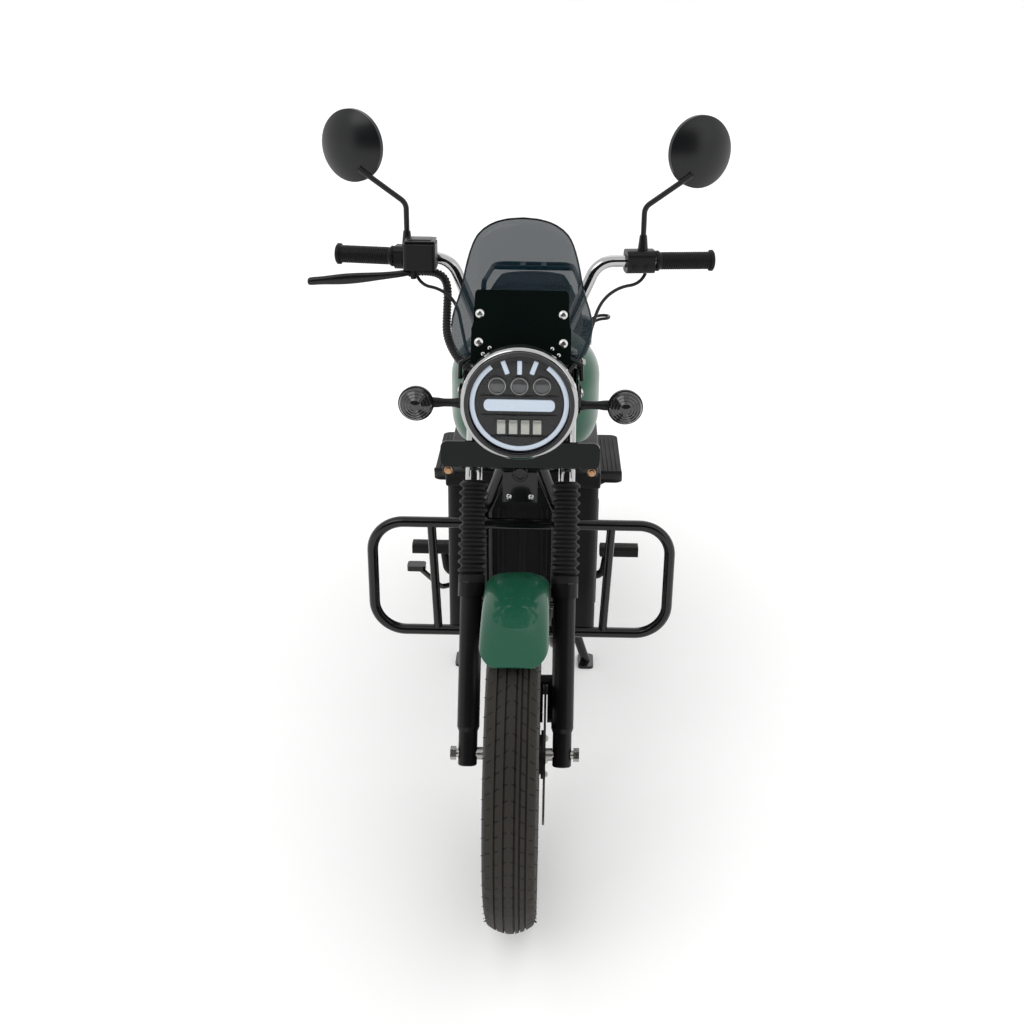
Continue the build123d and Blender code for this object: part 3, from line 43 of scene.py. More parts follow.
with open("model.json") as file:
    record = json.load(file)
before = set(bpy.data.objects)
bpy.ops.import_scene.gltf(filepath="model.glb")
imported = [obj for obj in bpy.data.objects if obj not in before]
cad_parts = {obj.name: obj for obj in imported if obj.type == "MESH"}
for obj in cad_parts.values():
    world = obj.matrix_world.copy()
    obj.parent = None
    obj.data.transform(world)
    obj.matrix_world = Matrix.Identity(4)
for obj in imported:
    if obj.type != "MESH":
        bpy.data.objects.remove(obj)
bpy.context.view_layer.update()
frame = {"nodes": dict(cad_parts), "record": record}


def middle(node):
    """The middle of a node's box at rest."""
    low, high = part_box(node)
    return (Vector(low) + Vector(high)) / 2


FRONT_AXLE = middle("front_axle")
REAR_AXLE = middle("rear_axle")
RAKE = radians(27)
UP_FORK = Vector((0, sin(RAKE), cos(RAKE)))
BACK_FORK = Vector((0, cos(RAKE), -sin(RAKE)))
LEG_X = 0.083
LAMP = Vector((0, FRONT_AXLE.y + 0.1, middle("headlight_rim").z))
SIDES = (-1, 1)
TURN = 2 * pi
X_AXIS = Vector((1, 0, 0))
Y_AXIS = Vector((0, 1, 0))
Z_AXIS = Vector((0, 0, 1))


def spot(x, behind, z):
    """A point given by its distance behind the front axle."""
    return Vector((x, FRONT_AXLE.y + behind, z))


def fork_spot(x, along, back=0.0):
    """A point by its distance up the fork legs and behind them."""
    foot = Vector((x, FRONT_AXLE.y, FRONT_AXLE.z))
    return foot + UP_FORK * along + BACK_FORK * back


def colour_setting(name, about, *shade):
    """A colour that a user can set."""
    return bpy.props.FloatVectorProperty(
        name=name, description=about, subtype="COLOR", size=4, default=(*shade, 1)
    )


def length_setting(name, about, metres):
    """A length that a user can set."""
    return bpy.props.FloatProperty(name=name, description=about, default=metres, unit="LENGTH")


class MotorcycleColours(bpy.types.PropertyGroup):
    """The colours a user would change."""

    body_green: colour_setting("Body green", "Tank, fenders and side panels", 0.008, 0.072, 0.039)
    frame_black: colour_setting("Frame black", "Frame, guard and stands", 0.0030, 0.0030, 0.0034)
    screen_smoke: colour_setting("Screen smoke", "Tint of the fly screen", 0.004, 0.015, 0.022)
    tyre_black: colour_setting("Tyre black", "Rubber of the tyres", 0.017, 0.0155, 0.013)


class MotorcycleSizes(bpy.types.PropertyGroup):
    """The sizes a user would change."""

    groove_depth: length_setting("Groove depth", "Depth of the grooves round each tyre", 0.0035)
    groove_width: length_setting("Groove width", "Width of the grooves round each tyre", 0.0026)
    grip_rib: length_setting("Grip rib", "Height of the rings moulded on the grips", 0.0009)
    seam_radius: length_setting("Seat seam", "Radius of the piping round the seat", 0.0032)
    loom_pitch: length_setting("Loom pitch", "Distance between rings of the loom's sheath", 0.0056)


# Node groups


def set_values(node, values):
    """Sets a node's sockets, whose names start with a capital, and its other settings."""
    for name, value in values.items():
        if name[0].isupper():
            node.inputs[name.replace("_", " ")].default_value = value
        else:
            setattr(node, name, value)


def node_of(tree, kind, place=(0, 0), **values):
    """A new node with its settings."""
    node = tree.nodes.new(kind)
    node.location = place
    set_values(node, values)
    return node


def wire(tree, *rows):
    """Links nodes by rows of a node, its output, the next node and its input."""
    for source, leaving, target, entering in rows:
        tree.links.new(source.outputs[leaving], target.inputs[entering])


def new_group(name, inputs, outputs):
    """An empty node group with these sockets, and its two end nodes."""
    group = bpy.data.node_groups.new(name, "ShaderNodeTree")
    for label, kind, default in inputs:
        socket = group.interface.new_socket(label, in_out="INPUT", socket_type=kind)
        if default is not None:
            socket.default_value = default
    for label, kind in outputs:
        group.interface.new_socket(label, in_out="OUTPUT", socket_type=kind)
    start = node_of(group, "NodeGroupInput", (-700, 0))
    end = node_of(group, "NodeGroupOutput", (500, 0))
    return group, start, end


def grain_group():
    """Two scales of noise as a value between two limits and as a height."""
    group, start, end = new_group(
        "surface grain",
        [
            ("Vector", "NodeSocketVector", None),
            ("Scale", "NodeSocketFloat", 40.0),
            ("Low", "NodeSocketFloat", 0.3),
            ("High", "NodeSocketFloat", 0.5),
        ],
        [("Value", "NodeSocketFloat"), ("Height", "NodeSocketFloat"), ("Mask", "NodeSocketFloat")],
    )
    fine = node_of(group, "ShaderNodeTexNoise", (-450, 150), Detail=6, Roughness=0.6)
    broad = node_of(group, "ShaderNodeTexNoise", (-450, -150), Scale=7, Detail=3)
    mix = node_of(group, "ShaderNodeMath", (-200, 0), operation="MULTIPLY_ADD")
    mix.inputs[1].default_value = 0.5
    half = node_of(group, "ShaderNodeMath", (-200, -200), operation="MULTIPLY")
    half.inputs[1].default_value = 0.5
    spread = node_of(group, "ShaderNodeMapRange", (100, 0), From_Min=0.35, From_Max=0.65)
    wire(
        group, (start, "Vector", fine, "Vector"), (start, "Vector", broad, "Vector"),
        (start, "Scale", fine, "Scale"), (broad, "Fac", half, 0), (fine, "Fac", mix, 0),
        (half, "Value", mix, 2), (mix, "Value", spread, "Value"), (start, "Low", spread, "To Min"),
        (start, "High", spread, "To Max"), (spread, "Result", end, "Value"),
        (fine, "Fac", end, "Height"), (broad, "Fac", end, "Mask"),
    )
    return group


def dust_group():
    """Road dust that thins out with height above the floor."""
    group, start, end = new_group(
        "road dust",
        [
            ("Vector", "NodeSocketVector", None),
            ("Clean Color", "NodeSocketColor", (0.02, 0.02, 0.02, 1)),
            ("Dust Color", "NodeSocketColor", (0.16, 0.13, 0.10, 1)),
            ("Amount", "NodeSocketFloat", 0.2),
            ("Top", "NodeSocketFloat", 0.5),
        ],
        [("Color", "NodeSocketColor"), ("Mask", "NodeSocketFloat")],
    )
    split = node_of(group, "ShaderNodeSeparateXYZ", (-450, 100))
    fade = node_of(group, "ShaderNodeMapRange", (-250, 100), To_Min=1, To_Max=0)
    specks = node_of(group, "ShaderNodeTexNoise", (-450, -150), Scale=60, Detail=5)
    by_noise = node_of(group, "ShaderNodeMath", (-50, 0), operation="MULTIPLY")
    by_amount = node_of(group, "ShaderNodeMath", (120, 0), operation="MULTIPLY", use_clamp=True)
    blend = node_of(group, "ShaderNodeMix", (300, 0), data_type="RGBA")
    wire(
        group, (start, "Vector", split, "Vector"), (start, "Vector", specks, "Vector"),
        (split, "Z", fade, "Value"), (start, "Top", fade, "From Max"), (fade, "Result", by_noise, 0),
        (specks, "Fac", by_noise, 1), (by_noise, "Value", by_amount, 0),
        (start, "Amount", by_amount, 1), (by_amount, "Value", blend, "Factor"),
        (start, "Clean Color", blend, "A"), (start, "Dust Color", blend, "B"),
        (blend, "Result", end, "Color"), (by_amount, "Value", end, "Mask"),
    )
    return group


def ring_pattern_group():
    """Marks that repeat round an axle along X, from 0 between them to 1 on them."""
    group, start, end = new_group(
        "marks round an axle",
        [
            ("Vector", "NodeSocketVector", None),
            ("Count", "NodeSocketFloat", 120.0),
            ("Width", "NodeSocketFloat", 0.12),
            ("Slant", "NodeSocketFloat", 0.0),
        ],
        [("Mask", "NodeSocketFloat")],
    )
    split = node_of(group, "ShaderNodeSeparateXYZ", (-550, 0))
    angle = node_of(group, "ShaderNodeMath", (-350, 100), operation="ARCTAN2")
    turns = node_of(group, "ShaderNodeMath", (-200, 100), operation="DIVIDE")
    turns.inputs[1].default_value = TURN
    reach = node_of(group, "ShaderNodeMath", (-350, -100), operation="ABSOLUTE")
    slant = node_of(group, "ShaderNodeMath", (-200, -100), operation="MULTIPLY")
    marks = node_of(group, "ShaderNodeMath", (-50, 100), operation="MULTIPLY_ADD")
    part = node_of(group, "ShaderNodeMath", (100, 100), operation="FRACT")
    mask = node_of(group, "ShaderNodeMath", (250, 100), operation="LESS_THAN")
    wire(
        group, (start, "Vector", split, "Vector"), (split, "Y", angle, 0), (split, "Z", angle, 1),
        (angle, "Value", turns, 0), (split, "X", reach, 0), (reach, "Value", slant, 0),
        (start, "Slant", slant, 1), (turns, "Value", marks, 0), (start, "Count", marks, 1),
        (slant, "Value", marks, 2), (marks, "Value", part, 0), (part, "Value", mask, 0),
        (start, "Width", mask, 1), (mask, "Value", end, "Mask"),
    )
    return group


GROUPS = {}


def group_node(tree, name, place, **values):
    """A node group placed in a material with its own values."""
    makers = {"grain": grain_group, "dust": dust_group, "marks": ring_pattern_group}
    if name not in GROUPS:
        GROUPS[name] = makers[name]()
    return node_of(tree, "ShaderNodeGroup", place, node_tree=GROUPS[name], **values)


# Finishes


def new_finish(name, colour, second, rough, grain, bump, dust=(0.0, 0.5), **shader_values):
    """A material whose colour, roughness and relief vary over the surface."""
    material = bpy.data.materials.new(name)
    material.use_nodes = True
    tree = material.node_tree
    shader = tree.nodes["Principled BSDF"]
    place = node_of(tree, "ShaderNodeTexCoord", (-1100, 0))
    vary = group_node(tree, "grain", (-850, 0), Scale=grain, Low=rough[0], High=rough[1])
    wire(tree, (place, "Object", vary, "Vector"))
    shade = node_of(tree, "ShaderNodeMix", (-600, 200), data_type="RGBA", A=colour, B=second)
    wire(tree, (vary, "Mask", shade, "Factor"))
    dusty = group_node(tree, "dust", (-400, 200), Amount=dust[0], Top=dust[1])
    wire(
        tree, (place, "Object", dusty, "Vector"), (shade, "Result", dusty, "Clean Color"),
        (dusty, "Color", shader, "Base Color"),
    )
    rougher = node_of(tree, "ShaderNodeMath", (-400, -50), operation="MULTIPLY_ADD", use_clamp=True)
    rougher.inputs[1].default_value = 0.5
    wire(
        tree, (dusty, "Mask", rougher, 0), (vary, "Value", rougher, 2),
        (rougher, "Value", shader, "Roughness"),
    )
    relief = node_of(tree, "ShaderNodeBump", (-400, -250), Strength=bump, Distance=0.0004)
    wire(tree, (vary, "Height", relief, "Height"), (relief, "Normal", shader, "Normal"))
    set_values(shader, shader_values)
    return material


def brighter(colour, factor):
    """The same colour at another strength."""
    return (colour[0] * factor, colour[1] * factor, colour[2] * factor, 1)


SIPES = 74
SIPE_WIDTH = 0.085
SIPE_SLANT = 24
DASH_PITCH = 0.0068
DASH_LENGTH = 0.0030
# How far inside the axle's height the tread's marks begin
TREAD_INSET = 0.014


def tyre_finish(colour, axle, name):
    """Tyre rubber with fine sipes across the ribs, cut in by bump and darkened with painted shade."""
    material = new_finish(
        name, colour, brighter(colour, 1.5), (0.50, 0.72), 160, 0.4, (0.10, 0.9),
        Specular_IOR_Level=0.2,
    )
    tree = material.node_tree
    place = node_of(tree, "ShaderNodeTexCoord", (-1300, -500))
    centre = node_of(tree, "ShaderNodeMapping", (-1100, -500), Location=(0, -axle.y, -axle.z))
    sipes = group_node(tree, "marks", (-850, -500), Count=SIPES, Width=SIPE_WIDTH, Slant=SIPE_SLANT)
    dashes = node_of(tree, "ShaderNodeMath", (-850, -1000), operation="PINGPONG")
    dashes.inputs[1].default_value = DASH_PITCH
    near = node_of(tree, "ShaderNodeMath", (-650, -1000), operation="GREATER_THAN")
    near.inputs[1].default_value = DASH_LENGTH
    both = node_of(tree, "ShaderNodeMath", (-450, -1000), operation="MULTIPLY")
    # Painted shade: inside the sipes the rubber's colour drops to 12 percent of itself, standing in for
    # shadow in the cuts
    painted_sipe_shade = node_of(tree, "ShaderNodeMix", (-200, 200), data_type="RGBA", B=brighter(colour, 0.12))
    shader = tree.nodes["Principled BSDF"]
    plain = shader.inputs["Base Color"].links[0].from_socket
    split = node_of(tree, "ShaderNodeSeparateXYZ", (-850, -700))
    reach = node_of(tree, "ShaderNodeVectorMath", (-850, -850), operation="LENGTH")
    flat = node_of(tree, "ShaderNodeCombineXYZ", (-1000, -850))
    tread = node_of(tree, "ShaderNodeMath", (-650, -850), operation="GREATER_THAN")
    tread.inputs[1].default_value = axle.z - TREAD_INSET
    cut = node_of(tree, "ShaderNodeMath", (-450, -600), operation="MULTIPLY")
    depth = node_of(tree, "ShaderNodeMath", (-450, -450), operation="SUBTRACT")
    relief = next(node for node in tree.nodes if node.bl_idname == "ShaderNodeBump")
    grain = relief.inputs["Height"].links[0].from_socket
    wire(
        tree, (place, "Object", centre, "Vector"), (centre, "Vector", sipes, "Vector"),
        (centre, "Vector", split, "Vector"), (split, "Y", flat, "Y"), (split, "Z", flat, "Z"),
        (flat, "Vector", reach, 0), (reach, "Value", tread, 0), (sipes, "Mask", cut, 0),
        (tread, "Value", both, 0), (split, "X", dashes, 0), (dashes, "Value", near, 0),
        (near, "Value", both, 1), (both, "Value", cut, 1), (cut, "Value", painted_sipe_shade, "Factor"),
    )
    tree.links.new(plain, painted_sipe_shade.inputs["A"])
    wire(tree, (painted_sipe_shade, "Result", shader, "Base Color"))
    tree.links.new(grain, depth.inputs[0])
    wire(tree, (cut, "Value", depth, 1), (depth, "Value", relief, "Height"))
    relief.inputs["Distance"].default_value = 0.0012
    return material


def seat_finish():
    """Black seat vinyl with a pebbled grain."""
    material = new_finish(
        "seat vinyl", (0.006, 0.006, 0.0065, 1), (0.010, 0.010, 0.011, 1), (0.38, 0.52), 90, 0.3,
        Specular_IOR_Level=0.25,
    )
    tree = material.node_tree
    place = node_of(tree, "ShaderNodeTexCoord", (-1100, -500))
    pebbles = node_of(tree, "ShaderNodeTexVoronoi", (-850, -500), feature="SMOOTH_F1", Scale=700)
    relief = next(node for node in tree.nodes if node.bl_idname == "ShaderNodeBump")
    wire(tree, (place, "Object", pebbles, "Vector"), (pebbles, "Distance", relief, "Height"))
    relief.inputs["Distance"].default_value = 0.0003
    return material


def make_finishes():
    """Every material, by the name of the record's slot or of the piece it is for."""
    colours = bpy.context.scene.motorcycle_colours
    black = tuple(colours.frame_black)
    green = tuple(colours.body_green)
    smoke = tuple(colours.screen_smoke)
    rubber = tuple(colours.tyre_black)
    grey = brighter(black, 1.9)
    return {
        "frame_paint": new_finish(
            "gloss black enamel", black, brighter(black, 1.4), (0.12, 0.20), 30, 0.06, (0.04, 0.5),
            Coat_Weight=0.2, Coat_Roughness=0.05, Specular_IOR_Level=0.3,
        ),
        "fork_paint": new_finish(
            "satin black paint", brighter(black, 1.3), grey, (0.30, 0.40), 120, 0.15, (0.04, 0.6),
            Specular_IOR_Level=0.2,
        ),
        "battery_case": new_finish(
            "powder coat", brighter(black, 1.2), grey, (0.36, 0.50), 420, 0.5, (0.06, 0.6),
            Specular_IOR_Level=0.2,
        ),
        "body_green": new_finish(
            "dark green paint", green, brighter(green, 1.15), (0.26, 0.34), 60, 0.004, (0.02, 0.5),
            Coat_Weight=0.3, Coat_Roughness=0.02, Specular_IOR_Level=0.15,
        ),
        "number_plate_black": new_finish(
            "blank plate", (0.0024, 0.0044, 0.0038, 1), (0.003, 0.006, 0.005, 1), (0.08, 0.14), 20, 0.02,
            Specular_IOR_Level=0.2,
        ),
        "chrome_plate": new_finish(
            "chrome", (0.50, 0.50, 0.50, 1), (0.42, 0.42, 0.42, 1), (0.05, 0.12), 25, 0.03, Metallic=1.0
        ),
        "steel": new_finish(
            "turned steel", (0.42, 0.41, 0.40, 1), (0.50, 0.49, 0.47, 1), (0.22, 0.38), 220, 0.2,
            (0.2, 0.5), Metallic=1.0,
        ),
        "rubber_black": new_finish(
            "moulded rubber", (0.006, 0.006, 0.006, 1), (0.011, 0.011, 0.011, 1), (0.44, 0.60), 260, 0.4,
            (0.04, 0.7), Specular_IOR_Level=0.18,
        ),
        "wheel_cast": new_finish(
            "painted casting", black, grey, (0.34, 0.48), 180, 0.4, (0.15, 0.7)
        ),
        "plastic_black": new_finish(
            "moulded plastic", (0.005, 0.005, 0.0055, 1), (0.009, 0.009, 0.010, 1), (0.32, 0.44), 500, 0.3,
            Specular_IOR_Level=0.22,
        ),
        "mirror_shell": new_finish(
            "mirror shell", (0.004, 0.0044, 0.005, 1), (0.007, 0.0075, 0.0085, 1), (0.26, 0.34), 700, 0.2,
            Specular_IOR_Level=0.35,
        ),
        "lever_black": new_finish(
            "coated lever", black, grey, (0.24, 0.34), 150, 0.2, Metallic=0.3
        ),
        "lamp_lens": new_finish(
            "clear lens", (0.010, 0.011, 0.013, 1), (0.014, 0.015, 0.017, 1), (0.02, 0.04), 12, 0.02,
            Alpha=0.16,
        ),
        "lamp_inside": new_finish(
            "lamp body", (0.006, 0.006, 0.007, 1), (0.010, 0.010, 0.012, 1), (0.12, 0.22), 60, 0.05
        ),
        "cable_sheath": new_finish(
            "cable sheath", (0.005, 0.005, 0.005, 1), (0.009, 0.009, 0.009, 1), (0.36, 0.50), 200, 0.3,
            Specular_IOR_Level=0.35,
        ),
        "smoke_lens": new_finish(
            "smoked lens", (0.009, 0.009, 0.010, 1), (0.016, 0.015, 0.014, 1), (0.06, 0.12), 40, 0.08,
            Coat_Weight=0.8, Coat_Roughness=0.03,
        ),
        "screen_smoke": new_finish(
            "smoked screen", smoke, brighter(smoke, 1.12), (0.05, 0.09), 10, 0.02, Alpha=0.65,
            Specular_IOR_Level=0.2,
        ),
        "disc_steel": new_finish(
            "blackened disc", (0.030, 0.029, 0.028, 1), (0.05, 0.048, 0.046, 1), (0.26, 0.4), 220, 0.2,
            (0.05, 0.5), Metallic=0.8,
        ),
        "shock_steel": new_finish(
            "spring steel", (0.010, 0.010, 0.011, 1), (0.02, 0.02, 0.022, 1), (0.22, 0.34), 140, 0.25,
            (0.15, 0.7),
        ),
        "light_strip": new_finish(
            "light strip", (0.54, 0.61, 0.71, 1), (0.60, 0.67, 0.77, 1), (0.20, 0.30), 80, 0.05,
            Emission_Color=(0.62, 0.72, 0.84, 1), Emission_Strength=0.28,
        ),
        "led_block": new_finish(
            "reflector block", (0.46, 0.47, 0.43, 1), (0.62, 0.63, 0.58, 1), (0.14, 0.28), 160, 0.3,
            Metallic=0.5,
        ),
        "projector_glass": new_finish(
            "projector glass", (0.05, 0.052, 0.056, 1), (0.09, 0.09, 0.095, 1), (0.02, 0.05), 30, 0.02,
            Coat_Weight=1.0, Coat_Roughness=0.01,
        ),
        "mirror_glass": new_finish(
            "mirror glass", (0.82, 0.83, 0.84, 1), (0.80, 0.81, 0.82, 1), (0.01, 0.02), 10, 0.0,
            Metallic=1.0,
        ),
        "screw_zinc": new_finish(
            "zinc screw", (0.62, 0.62, 0.61, 1), (0.72, 0.72, 0.70, 1), (0.16, 0.30), 300, 0.2, Metallic=1.0
        ),
        "screw_brass": new_finish(
            "yellow zinc bolt", (0.42, 0.24, 0.13, 1), (0.52, 0.30, 0.17, 1), (0.25, 0.4), 300, 0.2,
            Metallic=1.0,
        ),
        "tail_red": new_finish(
            "red lens", (0.20, 0.004, 0.004, 1), (0.26, 0.006, 0.006, 1), (0.05, 0.10), 60, 0.1,
            Coat_Weight=1.0, Coat_Roughness=0.02,
        ),
        "display": new_finish(
            "display glass", (0.004, 0.005, 0.006, 1), (0.006, 0.007, 0.008, 1), (0.03, 0.06), 20, 0.02,
            Coat_Weight=1.0, Coat_Roughness=0.01,
        ),
        "seat_cover": seat_finish(),
        "front_tyre": tyre_finish(rubber, FRONT_AXLE, "front tyre rubber"),
        "rear_tyre": tyre_finish(rubber, REAR_AXLE, "rear tyre rubber"),
    }


FINISHES = {}


def finish(name):
    """A material by its name, made once."""
    if not FINISHES:
        FINISHES.update(make_finishes())
    return FINISHES[name]


# Modelling helpers


def keep_piece(form, name, body, material, replaces=(), sharp=34):
    """Turns a finished bmesh into a piece that rides on a body."""
    bmesh.ops.remove_doubles(form, verts=form.verts, dist=1e-6)
    bmesh.ops.recalc_face_normals(form, faces=form.faces)
    mesh = bpy.data.meshes.new(name)
    form.to_mesh(mesh)
    form.free()
    mesh.polygons.foreach_set("use_smooth", [True] * len(mesh.polygons))
    mesh.set_sharp_from_angle(angle=radians(sharp))
    piece = bpy.data.objects.new(name, mesh)
    bpy.context.scene.collection.objects.link(piece)
    mesh.materials.append(finish(material))
    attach(piece, body)
    for node in replaces:
        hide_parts(node)
    return piece


def smooth_surface(piece):
    """Puts a subdivision surface on a piece."""
    smooth = piece.modifiers.new("smooth", "SUBSURF")
    smooth.levels = 2
    smooth.render_levels = 2


def lathe(form, profile, origin, axis, steps=48, closed=False, angle=TURN, start=None):
    """Turns a profile of (along, radius) pairs about an axis."""
    across = start or axis.orthogonal().normalized()
    points = [form.verts.new(origin + axis * along + across * radius) for along, radius in profile]
    edges = [form.edges.new(pair) for pair in zip(points, points[1:])]
    if closed:
        edges.append(form.edges.new((points[-1], points[0])))
    full = abs(angle - TURN) < 1e-6
    bmesh.ops.spin(
        form, geom=points + edges, cent=origin, axis=axis, angle=angle, steps=steps, use_merge=full
    )


def at(place):
    """The matrix that moves a shape from the origin to a place."""
    return Matrix.Translation(place)


def frame_of(origin, axis):
    """A matrix that stands a shape's Z along an axis at a point."""
    return at(origin) @ axis.to_track_quat("Z", "Y").to_matrix().to_4x4()


def round_edges(form, edges, radius, segments):
    """Rounds these edges."""
    bmesh.ops.bevel(
        form, geom=edges, offset=radius, segments=segments, profile=0.5, affect="EDGES", material=-1
    )


def block(form, size, matrix, round_by=0.0, segments=3):
    """A block with rounded edges."""
    made = bmesh.ops.create_cube(form, size=1, matrix=matrix @ Matrix.Diagonal((*size, 1)))
    if round_by:
        edges = list({edge for vert in made["verts"] for edge in vert.link_edges})
        round_edges(form, edges, round_by, segments)


def hex_bolt(form, centre, axis, radius, height, washer=True):
    """A hexagon head on its washer."""
    if washer:
        rim = radius * 1.35
        lathe(form, [(0, 0), (0, rim), (0.0008, rim), (0.0012, radius)], centre, axis, 24)
    foot = centre + axis * (0.001 + height / 2)
    bmesh.ops.create_cone(
        form, cap_ends=True, segments=6, radius1=radius, radius2=radius * 0.96, depth=height,
        matrix=frame_of(foot, axis),
    )
    lathe(
        form,
        [(height * 0.9, radius * 0.5), (height + 0.0015, radius * 0.46), (height + 0.0018, 0)],
        centre, axis, 20,
    )


def dome_screw(form, centre, axis, radius, height):
    """A button-head screw with a hexagon socket."""
    lathe(
        form,
        [
            (0, radius), (height * 0.45, radius * 0.97), (height * 0.8, radius * 0.75),
            (height, radius * 0.46), (height * 0.5, radius * 0.44), (height * 0.45, 0),
        ],
        centre, axis, 20,
    )


def skin(form, loops):
    """Joins loops of edges in a row and closes both ends."""
    for first, second in zip(loops, loops[1:]):
        bmesh.ops.bridge_loops(form, edges=first + second)
    for end in (loops[0], loops[-1]):
        bmesh.ops.contextual_create(form, geom=end)


def tube(form, points, radius, sides=12, ring=None):
    """A tube along points, with an optional radius for each point."""
    loops = []
    for index, point in enumerate(points):
        before = points[max(index - 1, 0)]
        after = points[min(index + 1, len(points) - 1)]
        size = ring[index] if ring else radius
        made = bmesh.ops.create_circle(
            form, segments=sides, radius=size, matrix=frame_of(point, (after - before).normalized())
        )
        loops.append(list({edge for vert in made["verts"] for edge in vert.link_edges}))
    skin(form, loops)


def form_face(form, points):
    """A face through these points."""
    return form.faces.new([form.verts.new(point) for point in points])


def smooth_route(points):
    """Points along a NURBS line with these control points."""
    curve = bpy.data.curves.new("route", "CURVE")
    curve.dimensions = "3D"
    spline = curve.splines.new("NURBS")
    spline.points.add(len(points) - 1)
    for place, point in zip(spline.points, points):
        place.co = (*point, 1)
    spline.order_u = 3
    spline.use_endpoint_u = True
    spline.resolution_u = 24
    holder = bpy.data.objects.new("route", curve)
    mesh = bpy.data.meshes.new_from_object(holder)
    route = [Vector(vert.co) for vert in mesh.vertices]
    bpy.data.objects.remove(holder)
    bpy.data.curves.remove(curve)
    bpy.data.meshes.remove(mesh)
    return route


def evenly(route, step):
    """Points at an even step along a route."""
    spaced = [route[0]]
    left = step
    for first, second in zip(route, route[1:]):
        run = (second - first).length
        done = 0.0
        while run - done > left:
            done += left
            spaced.append(first.lerp(second, done / run))
            left = step
        left -= run - done
    spaced.append(route[-1])
    return spaced


# Tyres

# Where the grooves run, as shares of the tread's half width
GROOVES = (-0.66, -0.25, 0.22, 0.45, 0.72)
SHOULDER_SHARE = 0.80
BEAD_R = 0.2172
BEAD_X = 0.0262
TREAD_STEPS = 220
NOTCH_EVERY = 4
NOTCH_DEPTH = 0.0022
NUBS = 56


def tread_profile(radius, half, depth, width):
    """A tyre's outside from one bead round the tread to the other, as (along, radius) pairs."""
    flank_r = (radius + BEAD_R) / 2 + 0.006
    shoulder_x = SHOULDER_SHARE * half
    drop = 0.17 * half + 0.004

    def crown_r(x):
        return radius - drop * (x / shoulder_x) ** 2

    crown = []
    for share in GROOVES:
        x = share * shoulder_x
        crown.append((x - width / 2 - 0.0002, crown_r(x - width / 2)))
        crown.append((x - width / 2 + 0.0004, crown_r(x) - depth))
        crown.append((x + width / 2 - 0.0004, crown_r(x) - depth))
        crown.append((x + width / 2 + 0.0002, crown_r(x + width / 2)))
    crown.append((0, radius))
    crown.append((shoulder_x * 0.86, crown_r(shoulder_x * 0.86)))
    crown.append((-shoulder_x * 0.86, crown_r(shoulder_x * 0.86)))
    crown.sort()
    side = [
        (BEAD_X, BEAD_R),
        (BEAD_X + 0.005, BEAD_R + 0.001),
        (BEAD_X + 0.008, BEAD_R + 0.008),
        (half - 0.004, flank_r - 0.016),
        (half - 0.0008, flank_r - 0.006),
        (half - 0.0004, flank_r + 0.004),
        (half - 0.0035, (flank_r + radius - drop) / 2 + 0.003),
        (shoulder_x + 0.004, radius - drop - 0.0035),
        (shoulder_x, radius - drop),
    ]
    left_side = [(-x, r) for x, r in side]
    return left_side + crown + list(reversed(side))


def make_tyre(node, body, axle, radius, half):
    """A road tyre with grooves round it, notched shoulders and moulding nubs."""
    sizes = bpy.context.scene.motorcycle_sizes
    form = bmesh.new()
    profile = tread_profile(radius, half, sizes.groove_depth, sizes.groove_width)
    lathe(form, profile, axle, X_AXIS, TREAD_STEPS, closed=True, start=Z_AXIS)
    bmesh.ops.remove_doubles(form, verts=form.verts, dist=1e-6)
    shoulder_x = SHOULDER_SHARE * half
    for vert in form.verts:
        arm = Vector((0, vert.co.y - axle.y, vert.co.z - axle.z))
        on_shoulder = abs(abs(vert.co.x) - shoulder_x) < 0.0045 and arm.length > radius - 0.016
        step = round(Z_AXIS.angle(arm) / TURN * TREAD_STEPS)
        if on_shoulder and step % NOTCH_EVERY == 0:
            vert.co -= arm.normalized() * NOTCH_DEPTH
    nub_r = (radius + BEAD_R) / 2 + 0.020
    for index in range(NUBS):
        for side in SIDES:
            angle = TURN * (index + 0.25 * side) / NUBS
            arm = Vector((0, -sin(angle), cos(angle)))
            foot = axle + arm * nub_r + X_AXIS * side * (half - 0.0032)
            out = (X_AXIS * side + arm * 0.5).normalized()
            bmesh.ops.create_cone(
                form, cap_ends=True, segments=5, radius1=0.0008, radius2=0.0004, depth=0.005,
                matrix=frame_of(foot + out * 0.0016, out),
            )
    keep_piece(form, f"{node}_tread", body, node, (node,), 40)


def make_tyres():
    """Both tyres, each in its own size."""
    make_tyre("front_tyre", "front_wheel", FRONT_AXLE, 0.297, 0.044)
    make_tyre("rear_tyre", "rear_wheel", REAR_AXLE, 0.303, 0.050)


# Lamps

LENS_R = 0.0847
PROJECTORS_X = (-0.037, 0, 0.037)
PROJECTORS_UP = 0.031
STRIP_GAP = radians(36)
# Rows of height above the lamp's middle and width
FACE_RIBS = ((0.0135, 0.128), (-0.0200, 0.124), (-0.0575, 0.096))
# Rows of distance from the middle and lean in degrees
RAYS = ((-0.0238, -20), (0, 0), (0.0238, 20))
RAYS_UP = 0.063
REFLECTORS = 4
REFLECTOR_PITCH = 0.020
FINS = 9
FIN_PITCH = 0.0100


